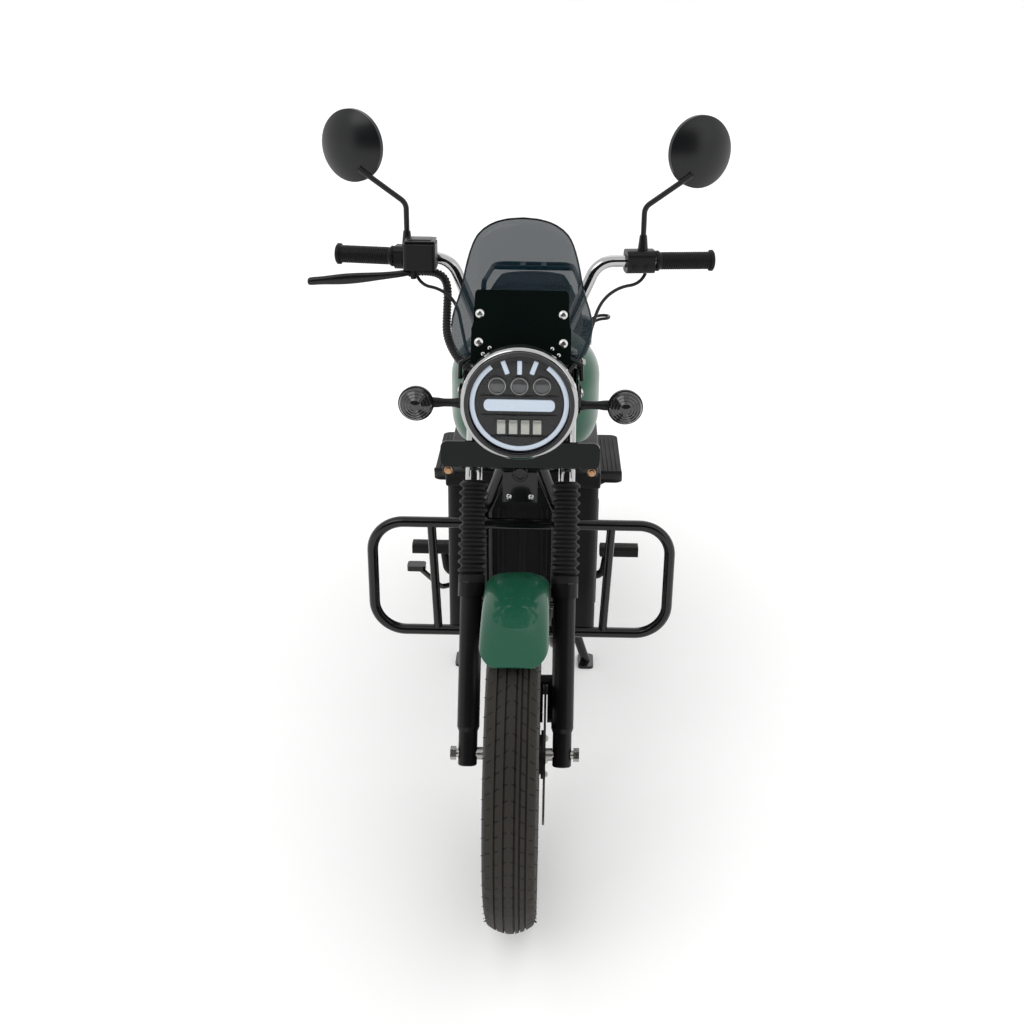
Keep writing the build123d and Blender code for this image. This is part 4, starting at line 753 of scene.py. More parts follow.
def make_headlight():
    """The light unit: a dark face with light strips, reflector blocks, projectors and a clear lens."""
    front = LAMP.y + 0.0085
    towards = -Y_AXIS

    def on_face(x, up, out=0.0):
        return Vector((x, front - out, LAMP.z + up))

    face = bmesh.new()
    face_line = [(-0.006, 0), (-0.006, LENS_R), (0, LENS_R), (0, 0.0838), (0, 0.0735), (-0.0016, 0.0720)]
    lathe(face, [*face_line, (-0.0016, 0)], on_face(0, 0), towards, 96)
    for x in PROJECTORS_X:
        cup = [(-0.0016, 0.0170), (0.0012, 0.0168), (0.0012, 0.0142), (-0.0010, 0.0134)]
        lathe(face, cup, on_face(x, PROJECTORS_UP), towards, 40)
    for up, wide in FACE_RIBS:
        block(face, (wide, 0.003, 0.0024), at(on_face(0, up)), 0.0009, 2)
    for index in range(FINS):
        place = at(on_face((index - FINS // 2) * FIN_PITCH, -0.0236, -0.0006))
        block(face, (0.0014, 0.0022, 0.0110), place, 0.0005, 2)
    keep_piece(face, "headlight_face", "steering", "lamp_inside", ("headlight_unit",))

    strips = bmesh.new()
    ring = [(0.0002, 0.0744), (0.0002, 0.0825), (0.0018, 0.0818), (0.0024, 0.0785), (0.0018, 0.0751)]
    lathe(
        strips, ring, on_face(0, 0), towards, 90, closed=True, angle=TURN - 2 * STRIP_GAP,
        start=Vector((-sin(STRIP_GAP), 0, cos(STRIP_GAP))),
    )
    bmesh.ops.holes_fill(strips, edges=[edge for edge in strips.edges if edge.is_boundary], sides=8)
    bar = at(on_face(0, -0.002)) @ Matrix.Diagonal((0.118, 0.004, 0.0196, 1))
    made = bmesh.ops.create_cube(strips, size=1, matrix=bar)
    corners = {
        edge for vert in made["verts"] for edge in vert.link_edges
        if abs(edge.verts[0].co.y - edge.verts[1].co.y) > 0.001
    }
    bmesh.ops.bevel(strips, geom=list(corners), offset=0.0085, segments=8, profile=0.5, affect="EDGES")
    for x, lean in RAYS:
        place = at(on_face(x, RAYS_UP))
        block(strips, (0.0078, 0.004, 0.0235), place @ Matrix.Rotation(radians(lean), 4, "Y"), 0.0012, 2)
    keep_piece(strips, "headlight_strips", "steering", "light_strip")

    blocks = bmesh.new()
    for index in range(REFLECTORS):
        x = (index - (REFLECTORS - 1) / 2) * REFLECTOR_PITCH
        block(blocks, (0.0142, 0.005, 0.0225), at(on_face(x, -0.0412)), 0.0008, 2)
        block(blocks, (0.0136, 0.003, 0.0022), at(on_face(x, -0.0288, 0.0008)), 0.0006, 2)
    for x in PROJECTORS_X:
        ring = [(0.0010, 0.0146), (0.0018, 0.0143), (0.0014, 0.0134), (0.0002, 0.0130)]
        lathe(blocks, ring, on_face(x, PROJECTORS_UP), towards, 40)
    keep_piece(blocks, "headlight_reflectors", "steering", "led_block")

    lenses = bmesh.new()
    for x in PROJECTORS_X:
        bowl = [(-0.0014, 0.0132), (0.0004, 0.0122), (0.0018, 0.0092), (0.0026, 0.0050), (0.0028, 0)]
        lathe(lenses, bowl, on_face(x, PROJECTORS_UP), towards, 32)
    keep_piece(lenses, "projector_lenses", "steering", "projector_glass")

    glass = bmesh.new()
    dome = [(0.0042, LENS_R), (0.0054, LENS_R - 0.004), (0.0066, 0.060), (0.0074, 0.030), (0.0077, 0)]
    lathe(glass, dome, on_face(0, 0), towards, 96)
    keep_piece(glass, "headlight_lens", "steering", "lamp_lens")

    liner = bmesh.new()
    ring = [(0.0072, 0.0846), (0.0088, 0.0850), (0.0094, 0.0872), (0.0094, 0.0908), (0.0086, 0.0918)]
    lathe(liner, [*ring, (0.0070, 0.0918)], on_face(0, 0), towards, 96, closed=True)
    keep_piece(liner, "headlight_liner", "steering", "lamp_inside")


INDICATOR_X = 0.181
INDICATOR_BEHIND = 0.1905
INDICATOR_DROP = 0.031
LENS_RINGS = 4
REAR_INDICATOR_X = 0.140
TAIL_ROWS = 4


def make_indicators():
    """Round front indicators with ringed smoked lenses on short stems."""
    shells = bmesh.new()
    lenses = bmesh.new()
    for side in SIDES:
        centre = spot(side * INDICATOR_X, INDICATOR_BEHIND, LAMP.z - INDICATOR_DROP)
        rings = [(0.0004, 0.0295), (0.0035, 0.0288)]
        for ring in range(LENS_RINGS):
            radius = 0.0262 - ring * 0.0052
            rings += [(0.0075 + ring * 0.0018, radius), (0.0066 + ring * 0.0018, radius - 0.0014)]
        lathe(lenses, [(0, 0.0295), *rings, (0.0138, 0.0036), (0.0142, 0)], centre, -Y_AXIS, 48)
        shell = [
            (0.0006, 0.0295), (0.0010, 0.0308), (-0.0030, 0.0310), (-0.0120, 0.0290), (-0.0185, 0.0220),
            (-0.0212, 0.0110), (-0.0215, 0),
        ]
        lathe(shells, shell, centre, -Y_AXIS, 48)
        start = spot(side * 0.1033, 0.2, LAMP.z - INDICATOR_DROP)
        neck = [(0, 0), (0, 0.0092), (0.004, 0.0096), (0.010, 0.0080), (0.018, 0.0072), (0.030, 0.0072)]
        neck += [(0.040, 0.0086), (0.0545, 0.0094), (0.0545, 0)]
        lathe(shells, neck, start, X_AXIS * side, 24)
    keep_piece(shells, "indicator_shells", "steering", "plastic_black", ("front_indicators",))
    keep_piece(lenses, "indicator_lenses", "steering", "smoke_lens")


def make_tail_lenses():
    """The tail lamp's red lens, the rear indicators' lenses and the blank plate carrier."""
    low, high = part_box("rear_lamps")
    back = high[1]
    middle_z = (low[2] + high[2]) / 2
    form = bmesh.new()
    block(form, (0.104, 0.005, 0.044), at((0, back + 0.0022, middle_z)), 0.0024)
    for row in range(TAIL_ROWS):
        place = at((0, back + 0.0049, middle_z - 0.0150 + row * 0.010))
        block(form, (0.096, 0.0012, 0.0050), place, 0.0005, 2)
    keep_piece(form, "tail_lens", "chassis", "tail_red")
    rings = bmesh.new()
    for side in SIDES:
        centre = Vector((side * REAR_INDICATOR_X, back - 0.0058, middle_z - 0.006))
        profile = [(0.0, 0.0262), (0.0030, 0.0255), (0.0050, 0.0205), (0.0046, 0.0195), (0.0062, 0.0135)]
        profile += [(0.0058, 0.0125), (0.0070, 0.0060), (0.0072, 0)]
        lathe(rings, profile, centre, Y_AXIS, 40)
    keep_piece(rings, "rear_indicator_lenses", "chassis", "smoke_lens")
    carrier = bmesh.new()
    start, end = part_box("rear_plate")
    centre = Vector((0, end[1] - 0.0015, (start[2] + end[2]) / 2))
    block(carrier, (end[0] - start[0], 0.003, end[2] - start[2]), at(centre), 0.001)
    for side in SIDES:
        hole = Vector((side * 0.050, end[1], end[2] - 0.016))
        eyelet = [(-0.003, 0.0052), (0.0006, 0.0052), (0.0006, 0.0033), (-0.003, 0.0033)]
        lathe(carrier, eyelet, hole, Y_AXIS, 20)
        stay = Vector((side * 0.022, start[1] + 0.004, end[2] - 0.024))
        tube(carrier, [stay, Vector((stay.x, end[1] - 0.002, stay.z))], 0.007, 16)
    keep_piece(
        carrier, "rear_plate_carrier", "chassis", "number_plate_black", ("rear_plate",)
    )


# Handlebar

# Points as distance from the mid-plane, distance behind the front axle and height
BAR_INNER = (0.134, 0.397, 1.089)
BAR_OUTER = (0.348, 0.432, 1.087)
LOOM_ROUTE = [
    (-0.220, 0.412, 1.0649), (-0.206, 0.404, 1.062), (-0.160, 0.392, 1.066), (-0.138, 0.378, 1.050),
    (-0.139, 0.350, 1.000), (-0.138, 0.320, 0.962), (-0.112, 0.280, 0.930), (-0.078, 0.250, 0.912),
    (-0.052, 0.222, 0.908),
]
SWITCH_ROUTE = [
    (0.222, 0.411, 1.0655), (0.214, 0.408, 1.046), (0.172, 0.396, 1.042), (0.138, 0.374, 1.018),
    (0.122, 0.332, 0.974), (0.106, 0.280, 0.942), (0.078, 0.248, 0.918), (0.052, 0.221, 0.910),
]
HOSE_ROUTE = [
    (-0.196, 0.372, 1.066), (-0.186, 0.352, 1.050), (-0.150, 0.352, 1.044), (-0.120, 0.345, 1.020),
    (-0.108, 0.322, 0.970), (-0.098, 0.290, 0.940), (-0.060, 0.262, 0.905), (-0.048, 0.238, 0.895),
]
CABLE_STEP = 0.004
# Rows of distance along the lever, distance behind the front axle, half height and half depth
LEVER_LINE = (
    (-0.004, 0.352, 0.0050, 0.0095), (0.006, 0.350, 0.0058, 0.0100), (0.024, 0.340, 0.0062, 0.0068),
    (0.050, 0.337, 0.0066, 0.0055), (0.078, 0.336, 0.0084, 0.0052), (0.104, 0.337, 0.0100, 0.0052),
    (0.130, 0.339, 0.0102, 0.0052), (0.154, 0.341, 0.0084, 0.0052), (0.172, 0.343, 0.0074, 0.0056),
    (0.186, 0.344, 0.0078, 0.0066), (0.193, 0.344, 0.0062, 0.0056),
)


def bar_spot(x, side):
    """The handlebar's middle line at this distance from the mid-plane."""
    share = (x - BAR_INNER[0]) / (BAR_OUTER[0] - BAR_INNER[0])
    behind = BAR_INNER[1] + share * (BAR_OUTER[1] - BAR_INNER[1])
    return spot(side * x, behind, BAR_INNER[2] + share * (BAR_OUTER[2] - BAR_INNER[2]))


GRIP_START = 0.240
GRIP_END = 0.340
GRIP_R = 0.0152
GRIP_RINGS = 21
GRIP_PITCH = 0.0042
LEVER_SLOPE = radians(6)
LEVER_SIDES = 16
MIRROR_YAW = radians(27)
MIRROR_AT = (0.311, 0.415, 1.284)


def make_grips():
    """Ribbed rubber grips with a flange at each end."""
    rib = bpy.context.scene.motorcycle_sizes.grip_rib
    form = bmesh.new()
    for side in SIDES:
        start = bar_spot(GRIP_START, side)
        axis = (bar_spot(GRIP_END, side) - start).normalized()
        profile = [(0, 0.0113), (0, 0.0185), (0.0040, 0.0190), (0.0065, 0.0165)]
        for ring in range(GRIP_RINGS):
            along = 0.0105 + ring * GRIP_PITCH
            profile += [(along, GRIP_R), (along + 0.0008, GRIP_R + rib)]
            profile += [(along + 0.0026, GRIP_R + rib), (along + 0.0034, GRIP_R)]
        profile += [(0.1000, 0.0160), (0.1015, 0.0192), (0.1065, 0.0195), (0.1085, 0.0170)]
        profile += [(0.1090, 0.0090), (0.1092, 0)]
        lathe(form, profile, start, axis, 40)
    keep_piece(form, "grip_rubbers", "steering", "rubber_black", ("grips",))


def make_controls():
    """The brake lever's blade, the reservoir lid and the switch buttons."""
    lever = bmesh.new()
    low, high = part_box("brake_lever")
    loops = []
    for along, behind, tall, deep in LEVER_LINE:
        centre = spot(
            -0.196 - along * cos(LEVER_SLOPE), behind, high[2] - 0.004 - along * sin(LEVER_SLOPE)
        )
        ring = []
        for step in range(LEVER_SIDES):
            angle = TURN * step / LEVER_SIDES
            ring.append(lever.verts.new(centre + Z_AXIS * tall * cos(angle) + Y_AXIS * deep * sin(angle)))
        loops.append([lever.edges.new(pair) for pair in zip(ring, ring[1:] + ring[:1])])
    skin(lever, loops)
    blade = keep_piece(lever, "lever_blade", "steering", "lever_black", ("brake_lever",), 60)
    smooth_surface(blade)
    pivot = bmesh.new()
    centre = spot(-0.198, 0.350, high[2] - 0.012)
    lathe(pivot, [(0, 0), (0, 0.0095), (0.016, 0.0095), (0.018, 0.0060), (0.018, 0)], centre, Z_AXIS, 28)
    hex_bolt(pivot, centre, -Z_AXIS, 0.0055, 0.004)
    keep_piece(pivot, "lever_pivot", "steering", "plastic_black")

    lid = bmesh.new()
    low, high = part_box("master_cylinder")
    centre = Vector((-0.186, (low[1] + high[1]) / 2 - 0.011, high[2]))
    block(lid, (0.054, 0.046, 0.005), at(centre + Z_AXIS * 0.0022), 0.0018)
    block(lid, (0.040, 0.032, 0.002), at(centre + Z_AXIS * 0.0052), 0.0008)
    keep_piece(lid, "reservoir_lid", "steering", "mirror_shell")
    buttons = bmesh.new()
    for side, x in ((-1, 0.222), (1, 0.200), (1, 0.222)):
        face = bar_spot(x, side) + Vector((0, 0.0185, 0.004))
        block(buttons, (0.011, 0.008, 0.009), at(face), 0.002)
        nub = bar_spot(x, side) + Vector((0, -0.0185, -0.006))
        block(buttons, (0.010, 0.006, 0.010), at(nub), 0.002)
    keep_piece(buttons, "switch_buttons", "steering", "rubber_black")


def make_mirror_glass():
    """The silvered glass at the rider's side of each mirror."""
    form = bmesh.new()
    shells = bmesh.new()
    for side in SIDES:
        facing = Vector((-side * sin(MIRROR_YAW), cos(MIRROR_YAW), 0))
        centre = spot(side * MIRROR_AT[0], *MIRROR_AT[1:])
        lathe(form, [(0.0082, 0), (0.0082, 0.0590), (0.0088, 0.0592), (0.0090, 0)], centre, facing, 64)
        rim = [(0.0075, 0.0588), (0.0092, 0.0592), (0.0098, 0.0618), (0.0086, 0.0634), (0.0070, 0.0634)]
        lathe(shells, rim, centre, facing, 64, closed=True)
    keep_piece(form, "mirror_glasses", "steering", "mirror_glass")
    keep_piece(shells, "mirror_rims", "steering", "mirror_shell")


def make_loom():
    """The ribbed wiring loom and two thin cables, held at the switches and the lamp bowl."""
    pitch = bpy.context.scene.motorcycle_sizes.loom_pitch
    route = evenly(smooth_route([spot(*point) for point in LOOM_ROUTE]), pitch / 4)
    radii = [0.0080 if index % 4 in (1, 2) else 0.0066 for index in range(len(route))]
    form = bmesh.new()
    tube(form, route, 0.005, 14, radii)
    keep_piece(form, "wiring_loom", "steering", "cable_sheath", (), 60)
    cable = bmesh.new()
    tube(cable, evenly(smooth_route([spot(*point) for point in SWITCH_ROUTE]), CABLE_STEP), 0.0031, 12)
    tube(cable, evenly(smooth_route([spot(*point) for point in HOSE_ROUTE]), CABLE_STEP), 0.0030, 12)
    keep_piece(cable, "switch_cables", "steering", "cable_sheath", (), 60)


# Screen, plate and small fittings

SCREEN_TILT = radians(22)
SCREEN_CURVE = 0.230
SCREEN_Z = 0.950
SCREEN_BEHIND = 0.178
PLATE_BEHIND = 0.1698
COLUMNS = 64
ROWS = 14
ARCH_R = 0.0780
ARCH_HALF = 42
ARCH_STEPS = 16
SCREW_X = 0.0705
SCREWS_UP = (0.0946, 0.0463)
UP_SCREEN = Vector((0, sin(SCREEN_TILT), cos(SCREEN_TILT)))
BACK_SCREEN = Vector((0, cos(SCREEN_TILT), -sin(SCREEN_TILT)))
# Rows of distance from the mid-plane, top edge and lower edge up the slope
SCREEN_EDGE = (
    (0.0, 0.2562, 0.062), (0.0256, 0.2545, 0.060), (0.0443, 0.2505, 0.052), (0.0557, 0.2459, 0.040),
    (0.0684, 0.2382, 0.028), (0.0792, 0.2274, 0.022), (0.0855, 0.2151, 0.021), (0.0910, 0.1998, 0.021),
    (0.0958, 0.1813, 0.0212), (0.0990, 0.1660, 0.0214), (0.1030, 0.1445, 0.0216), (0.1095, 0.1230, 0.0277),
    (0.1162, 0.1045, 0.0430), (0.1198, 0.0891, 0.0553), (0.1215, 0.0738, 0.0737),
)


def screen_spot(x, up):
    """A point on the screen's curved sheet, by its place across and up the slope."""
    back = SCREEN_CURVE - (SCREEN_CURVE ** 2 - x ** 2) ** 0.5
    return spot(x, SCREEN_BEHIND, SCREEN_Z) + UP_SCREEN * up + BACK_SCREEN * back


def plate_spot(x, up, out=0.0):
    """A point on the flat plate in front of the screen."""
    return spot(x, PLATE_BEHIND, SCREEN_Z) + UP_SCREEN * up - BACK_SCREEN * out


def along_table(table, x, column):
    """A value read between the rows of a table."""
    for low, high in zip(table, table[1:]):
        if x <= high[0]:
            share = (x - low[0]) / (high[0] - low[0])
            return low[column] + share * (high[column] - low[column])
    return table[-1][column]


def make_screen():
    """The smoked fly screen with its full shoulders, and the plate that carries it."""
    form = bmesh.new()
    widest = SCREEN_EDGE[-1][0]
    lines = []
    for column in range(COLUMNS + 1):
        x = -widest * cos(pi * column / COLUMNS)
        top = along_table(SCREEN_EDGE, abs(x), 1)
        foot = along_table(SCREEN_EDGE, abs(x), 2)
        ups = [foot + (top - foot) * row / ROWS for row in range(ROWS + 1)]
        line = [form.verts.new(screen_spot(x, up)) for up in ups]
        lines.append(line)
    for left, right in zip(lines, lines[1:]):
        for row in range(ROWS):
            form.faces.new((left[row], right[row], right[row + 1], left[row + 1]))
    bmesh.ops.remove_doubles(form, verts=form.verts, dist=2e-4)
    screen = keep_piece(form, "smoked_screen", "steering", "screen_smoke", ("fly_screen",))
    wall = screen.modifiers.new("wall", "SOLIDIFY")
    wall.thickness = 0.003
    wall.offset = 0

    trim = bmesh.new()
    rim = []
    for column in range(COLUMNS + 1):
        x = -widest * cos(pi * column / COLUMNS)
        rim.append(screen_spot(x, along_table(SCREEN_EDGE, abs(x), 1)))
    tube(trim, rim, 0.0017, 8)
    keep_piece(trim, "screen_edge", "steering", "smoke_lens")

    plate = bmesh.new()
    outline = [(0.0790, 0.1310), (0.0750, 0.1352), (-0.0750, 0.1352), (-0.0790, 0.1310)]
    outline += [(-0.0810, 0.0800), (-0.0845, 0.0700), (-0.0845, 0.0110), (-0.0800, 0.0086)]
    lamp_up = (LAMP.z - SCREEN_Z) / cos(SCREEN_TILT)
    for step in range(ARCH_STEPS + 1):
        angle = radians(-ARCH_HALF + step * 2 * ARCH_HALF / ARCH_STEPS)
        outline.append((ARCH_R * sin(angle), lamp_up + ARCH_R * cos(angle) / cos(SCREEN_TILT)))
    outline += [(0.0800, 0.0086), (0.0845, 0.0110), (0.0845, 0.0700), (0.0810, 0.0800)]
    face = form_face(plate, [plate_spot(x, up) for x, up in outline])
    thick = bmesh.ops.extrude_face_region(plate, geom=[face])
    shift = plate_spot(0, 0, 0.003) - plate_spot(0, 0)
    verts = [part for part in thick["geom"] if isinstance(part, bmesh.types.BMVert)]
    bmesh.ops.translate(plate, verts=verts, vec=shift)
    for side in SIDES:
        for up in SCREWS_UP:
            stud = [(-0.016, 0.0075), (0.0, 0.0075)]
            lathe(plate, stud, plate_spot(side * SCREW_X, up), shift.normalized(), 20)
    for side in SIDES:
        strap = [plate_spot(side * 0.080, 0.024, -0.001), spot(side * 0.1035, 0.190, 0.955)]
        strap += [spot(side * 0.1045, 0.194, LAMP.z + 0.016)]
        tube(plate, strap, 0.004, 10)
    keep_piece(plate, "screen_plate", "steering", "number_plate_black", ("screen_bracket",))


def make_screen_fittings():
    """Screws that hold the screen to its plate."""
    facing = Vector((0, -cos(SCREEN_TILT), sin(SCREEN_TILT)))
    form = bmesh.new()
    for side in SIDES:
        dome_screw(form, plate_spot(side * SCREW_X, SCREWS_UP[0], 0.003), facing, 0.0076, 0.0036)
        dome_screw(form, plate_spot(side * 0.0716, SCREWS_UP[1], 0.003), facing, 0.0076, 0.0036)
        dome_screw(form, plate_spot(side * 0.0530, 0.0370, 0.003), facing, 0.0034, 0.0022)
        dome_screw(form, plate_spot(side * 0.0640, 0.0265, 0.003), facing, 0.0034, 0.0022)
    keep_piece(form, "screen_screws", "steering", "screw_zinc")


def make_boss():
    """The round boss on the lower yoke and the bracket with two bolts below it."""
    form = bmesh.new()
    face = Vector((0, FRONT_AXLE.y + 0.202, 0.746))
    turned = [(-0.034, 0), (-0.034, 0.0135), (0, 0.0135), (0.0015, 0.0120), (0.0015, 0.0085)]
    lathe(form, [*turned, (-0.001, 0.0080), (-0.001, 0)], face, -Y_AXIS, 40)
    block(form, (0.062, 0.004, 0.060), at((0, FRONT_AXLE.y + 0.208, 0.720)), 0.0015)
    keep_piece(form, "yoke_boss", "steering", "frame_paint")


FRONT_AXLE_MID = Vector((0, FRONT_AXLE.y, FRONT_AXLE.z))
FENDER_ARM_UP = 0.262
# How squarely the fender's section turns from its crown into its sides
FENDER_CROWN = 2.6
FENDER_SIDE = 2.2


def fender_line(share, radius, drop):
    """A fender's radius at a share of its half width."""
    return radius - drop * (1 - (1 - min(abs(share), 1) ** FENDER_CROWN) ** (1 / FENDER_SIDE))


def make_front_fender():
    """The front fender: a rounded section round the tyre with rounded ends and its brackets."""
    half = 0.056
    radius = 0.320
    drop = 0.025
    corner = 0.060
    corner_across = 0.030
    first = radians(30.6)
    last = radians(-62)
    steps = 96
    across = 28
    form = bmesh.new()
    lines = []
    for step in range(steps + 1):
        share = (1 - cos(pi * step / steps)) / 2
        angle = first + (last - first) * share
        run = min(abs(angle - first), abs(last - angle)) * radius
        inset = corner_across * (1 - (1 - (1 - min(run / corner, 1)) ** 2) ** 0.5)
        line = []
        for column in range(across + 1):
            x = -cos(pi * column / across) * (half - inset)
            reach = fender_line(x / half, radius, drop)
            arm = Vector((0, -sin(angle), cos(angle))) * reach
            line.append(form.verts.new(FRONT_AXLE_MID + arm + X_AXIS * x))
        lines.append(line)
    for low, high in zip(lines, lines[1:]):
        for column in range(across):
            form.faces.new((low[column], low[column + 1], high[column + 1], high[column]))
    shell = keep_piece(
        form, "front_fender_shell", "steering", "body_green", ("front_fender",)
    )
    wall = shell.modifiers.new("wall", "SOLIDIFY")
    wall.thickness = 0.0025
    wall.offset = -1
    edge = shell.modifiers.new("edge", "BEVEL")
    edge.width = 0.0009
    edge.segments = 2
    edge.limit_method = "ANGLE"

    arms = bmesh.new()
    for side in SIDES:
        rod_at = fork_spot(side * 0.0545, FENDER_ARM_UP)
        end = fork_spot(side * 0.0655, FENDER_ARM_UP)
        tube(arms, [rod_at, end], 0.0065, 16)
        place = at(fork_spot(side * 0.0560, FENDER_ARM_UP)) @ Matrix.Rotation(-RAKE, 4, "X")
        block(arms, (0.003, 0.034, 0.060), place, 0.0012)
    keep_piece(arms, "fender_brackets", "steering", "frame_paint")


# Corners as distance behind the tank's end and height
PANEL_OUTLINE = ((-0.045, 0.738), (0.200, 0.742), (0.125, 0.560), (-0.048, 0.520))
PANEL_THICKNESS = 0.010


def make_side_panels():
    """The side panels with rounded corners and rims."""
    low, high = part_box("side_panels")
    tank_end = low[1] + 0.048
    form = bmesh.new()
    for side in SIDES:
        inner = side * (high[0] - PANEL_THICKNESS)
        outer = side * high[0]
        face = form_face(form, [Vector((inner, tank_end + y, z)) for y, z in PANEL_OUTLINE])
        thick = bmesh.ops.extrude_face_region(form, geom=[face])
        verts = [part for part in thick["geom"] if isinstance(part, bmesh.types.BMVert)]
        bmesh.ops.translate(form, verts=verts, vec=X_AXIS * side * PANEL_THICKNESS)
        corners = [
            edge for edge in form.edges
            if edge.calc_length() < PANEL_THICKNESS + 1e-4 and edge.verts[0].co.x * side > 0
        ]
        round_edges(form, corners, 0.026, 8)
        rims = [edge for edge in form.edges if all(abs(vert.co.x - outer) < 1e-5 for vert in edge.verts)]
        round_edges(form, rims, 0.004, 3)
        for y, z in ((0.0, 0.700), (0.145, 0.700)):
            dome_screw(form, Vector((outer, tank_end + y, z)), X_AXIS * side, 0.006, 0.003)
    keep_piece(form, "side_panel_covers", "chassis", "body_green", ("side_panels",))


SHOCK_FOOT = (1.215, 0.338)
SHOCK_HEAD = (1.120, 0.728)
SHOCK_X = 0.134
SHOCK_BOLT_X = 0.1455
COIL_TURNS = 10
COIL_SIDES = 24


def make_shocks():
    """Rear shocks with coil springs, damper bodies and eyes."""
    steel = bmesh.new()
    coils = bmesh.new()
    for side in SIDES:
        foot = spot(side * SHOCK_X, *SHOCK_FOOT)
        head = spot(side * SHOCK_X, *SHOCK_HEAD)
        run = (head - foot).normalized()
        length = (head - foot).length
        body = [
            (0.006, 0), (0.006, 0.012), (0.018, 0.014), (0.024, 0.024), (0.040, 0.0255), (0.044, 0.0255),
            (0.044, 0.0165), (0.150, 0.0165), (0.152, 0.0080), (length - 0.075, 0.0080),
            (length - 0.075, 0.0165), (length - 0.040, 0.0165), (length - 0.040, 0.0250),
            (length - 0.034, 0.0250), (length - 0.026, 0.0200), (length - 0.010, 0.012),
            (length - 0.006, 0),
        ]
        lathe(steel, body, foot, run, 32)
        for eye in (foot, head):
            ring = [(-0.009, 0.0075), (-0.009, 0.0140), (0.009, 0.0140), (0.009, 0.0075)]
            lathe(steel, ring, eye, X_AXIS, 32, closed=True)
        over = run.cross(X_AXIS)
        helix = []
        for step in range(COIL_TURNS * COIL_SIDES + 1):
            angle = TURN * step / COIL_SIDES
            along = 0.048 + (length - 0.092) * step / (COIL_TURNS * COIL_SIDES)
            helix.append(foot + run * along + (X_AXIS * cos(angle) + over * sin(angle)) * 0.0212)
        tube(coils, helix, 0.0040, 10)
    keep_piece(steel, "shock_bodies", "chassis", "shock_steel", ("rear_shocks",))
    keep_piece(coils, "shock_springs", "chassis", "frame_paint")


RIB_PITCH = 0.044
RIB_HEIGHT = 0.240
SIDE_RIBS = 6
FRONT_RIBS = 5
BOARD_X = 0.202
BOARD_RIBS = 5
PEG_RINGS = 7
# Points as distance from the mid-plane, distance behind the front axle and height
HOOK_ROUTE = (
    (0.105, 1.160, 0.736), (0.140, 1.160, 0.736), (0.152, 1.160, 0.766), (0.170, 1.161, 0.776),
    (0.195, 1.164, 0.777), (0.196, 1.194, 0.777), (0.170, 1.197, 0.776), (0.152, 1.198, 0.766),
    (0.140, 1.198, 0.737), (0.105, 1.198, 0.737),
)


def make_chassis_forms():
    """The battery lid and ribs, the boards' ribs, the pegs' rings and the luggage hook."""
    low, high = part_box("battery_box")
    centre = (Vector(low) + Vector(high)) / 2
    case = bmesh.new()
    lid = at((0, centre.y, high[2] - 0.0165))
    block(case, (high[0] - low[0] + 0.006, high[1] - low[1] + 0.006, 0.035), lid, 0.005)
    for side in SIDES:
        for index in range(SIDE_RIBS):
            place = (side * high[0], centre.y + (index - 2.5) * RIB_PITCH, centre.z - 0.016)
            block(case, (0.006, 0.014, RIB_HEIGHT), at(place), 0.0028)
    for index in range(FRONT_RIBS):
        place = (RIB_PITCH * (index - 2), low[1], centre.z - 0.016)
        block(case, (0.014, 0.006, RIB_HEIGHT), at(place), 0.0028)
    keep_piece(case, "battery_ribs", "chassis", "battery_case")

    boards = bmesh.new()
    for side in SIDES:
        for index in range(BOARD_RIBS):
            place = (side * BOARD_X + (index - 2) * 0.011, spot(0, 1.155, 0).y, 0.4125)
            block(boards, (0.005, 0.250, 0.004), at(place), 0.0015)
        toe = spot(side * BOARD_X, 0.992, 0.424)
        lean = Matrix.Rotation(radians(-52), 4, "X")
        block(boards, (0.060, 0.034, 0.009), at(toe) @ lean, 0.003)
    keep_piece(boards, "board_ribs", "chassis", "rubber_black")

    pegs = bmesh.new()
    for side in SIDES:
        for index in range(PEG_RINGS):
            along = side * (0.176 + index * 0.012)
            ring = [(-0.0042, 0.0118), (-0.0036, 0.0140), (0.0036, 0.0140), (0.0042, 0.0118)]
            lathe(pegs, ring, spot(along, 0.750, 0.336), X_AXIS, 24)
    keep_piece(pegs, "peg_rubbers", "chassis", "rubber_black")

    hook = bmesh.new()
    tube(hook, evenly(smooth_route([spot(*point) for point in HOOK_ROUTE]), CABLE_STEP), 0.004, 12)
    keep_piece(hook, "luggage_hook", "chassis", "frame_paint")


def make_plate_fittings():
    """The tabs behind the plate bar and their bolts."""
    low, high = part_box("number_plate")
    tabs = bmesh.new()
    behind = low[1] + 0.008
    for side in SIDES:
        tab = at((side * 0.127, behind, low[2] - 0.004))
        block(tabs, (0.020, 0.003, 0.026), tab, 0.001)
    keep_piece(tabs, "plate_tabs", "steering", "frame_paint")
    bolts = bmesh.new()
    for side in SIDES:
        hex_bolt(bolts, Vector((side * 0.127, behind - 0.0015, low[2] - 0.009)), -Y_AXIS, 0.0055, 0.004)
    keep_piece(bolts, "plate_bolts", "steering", "screw_brass")


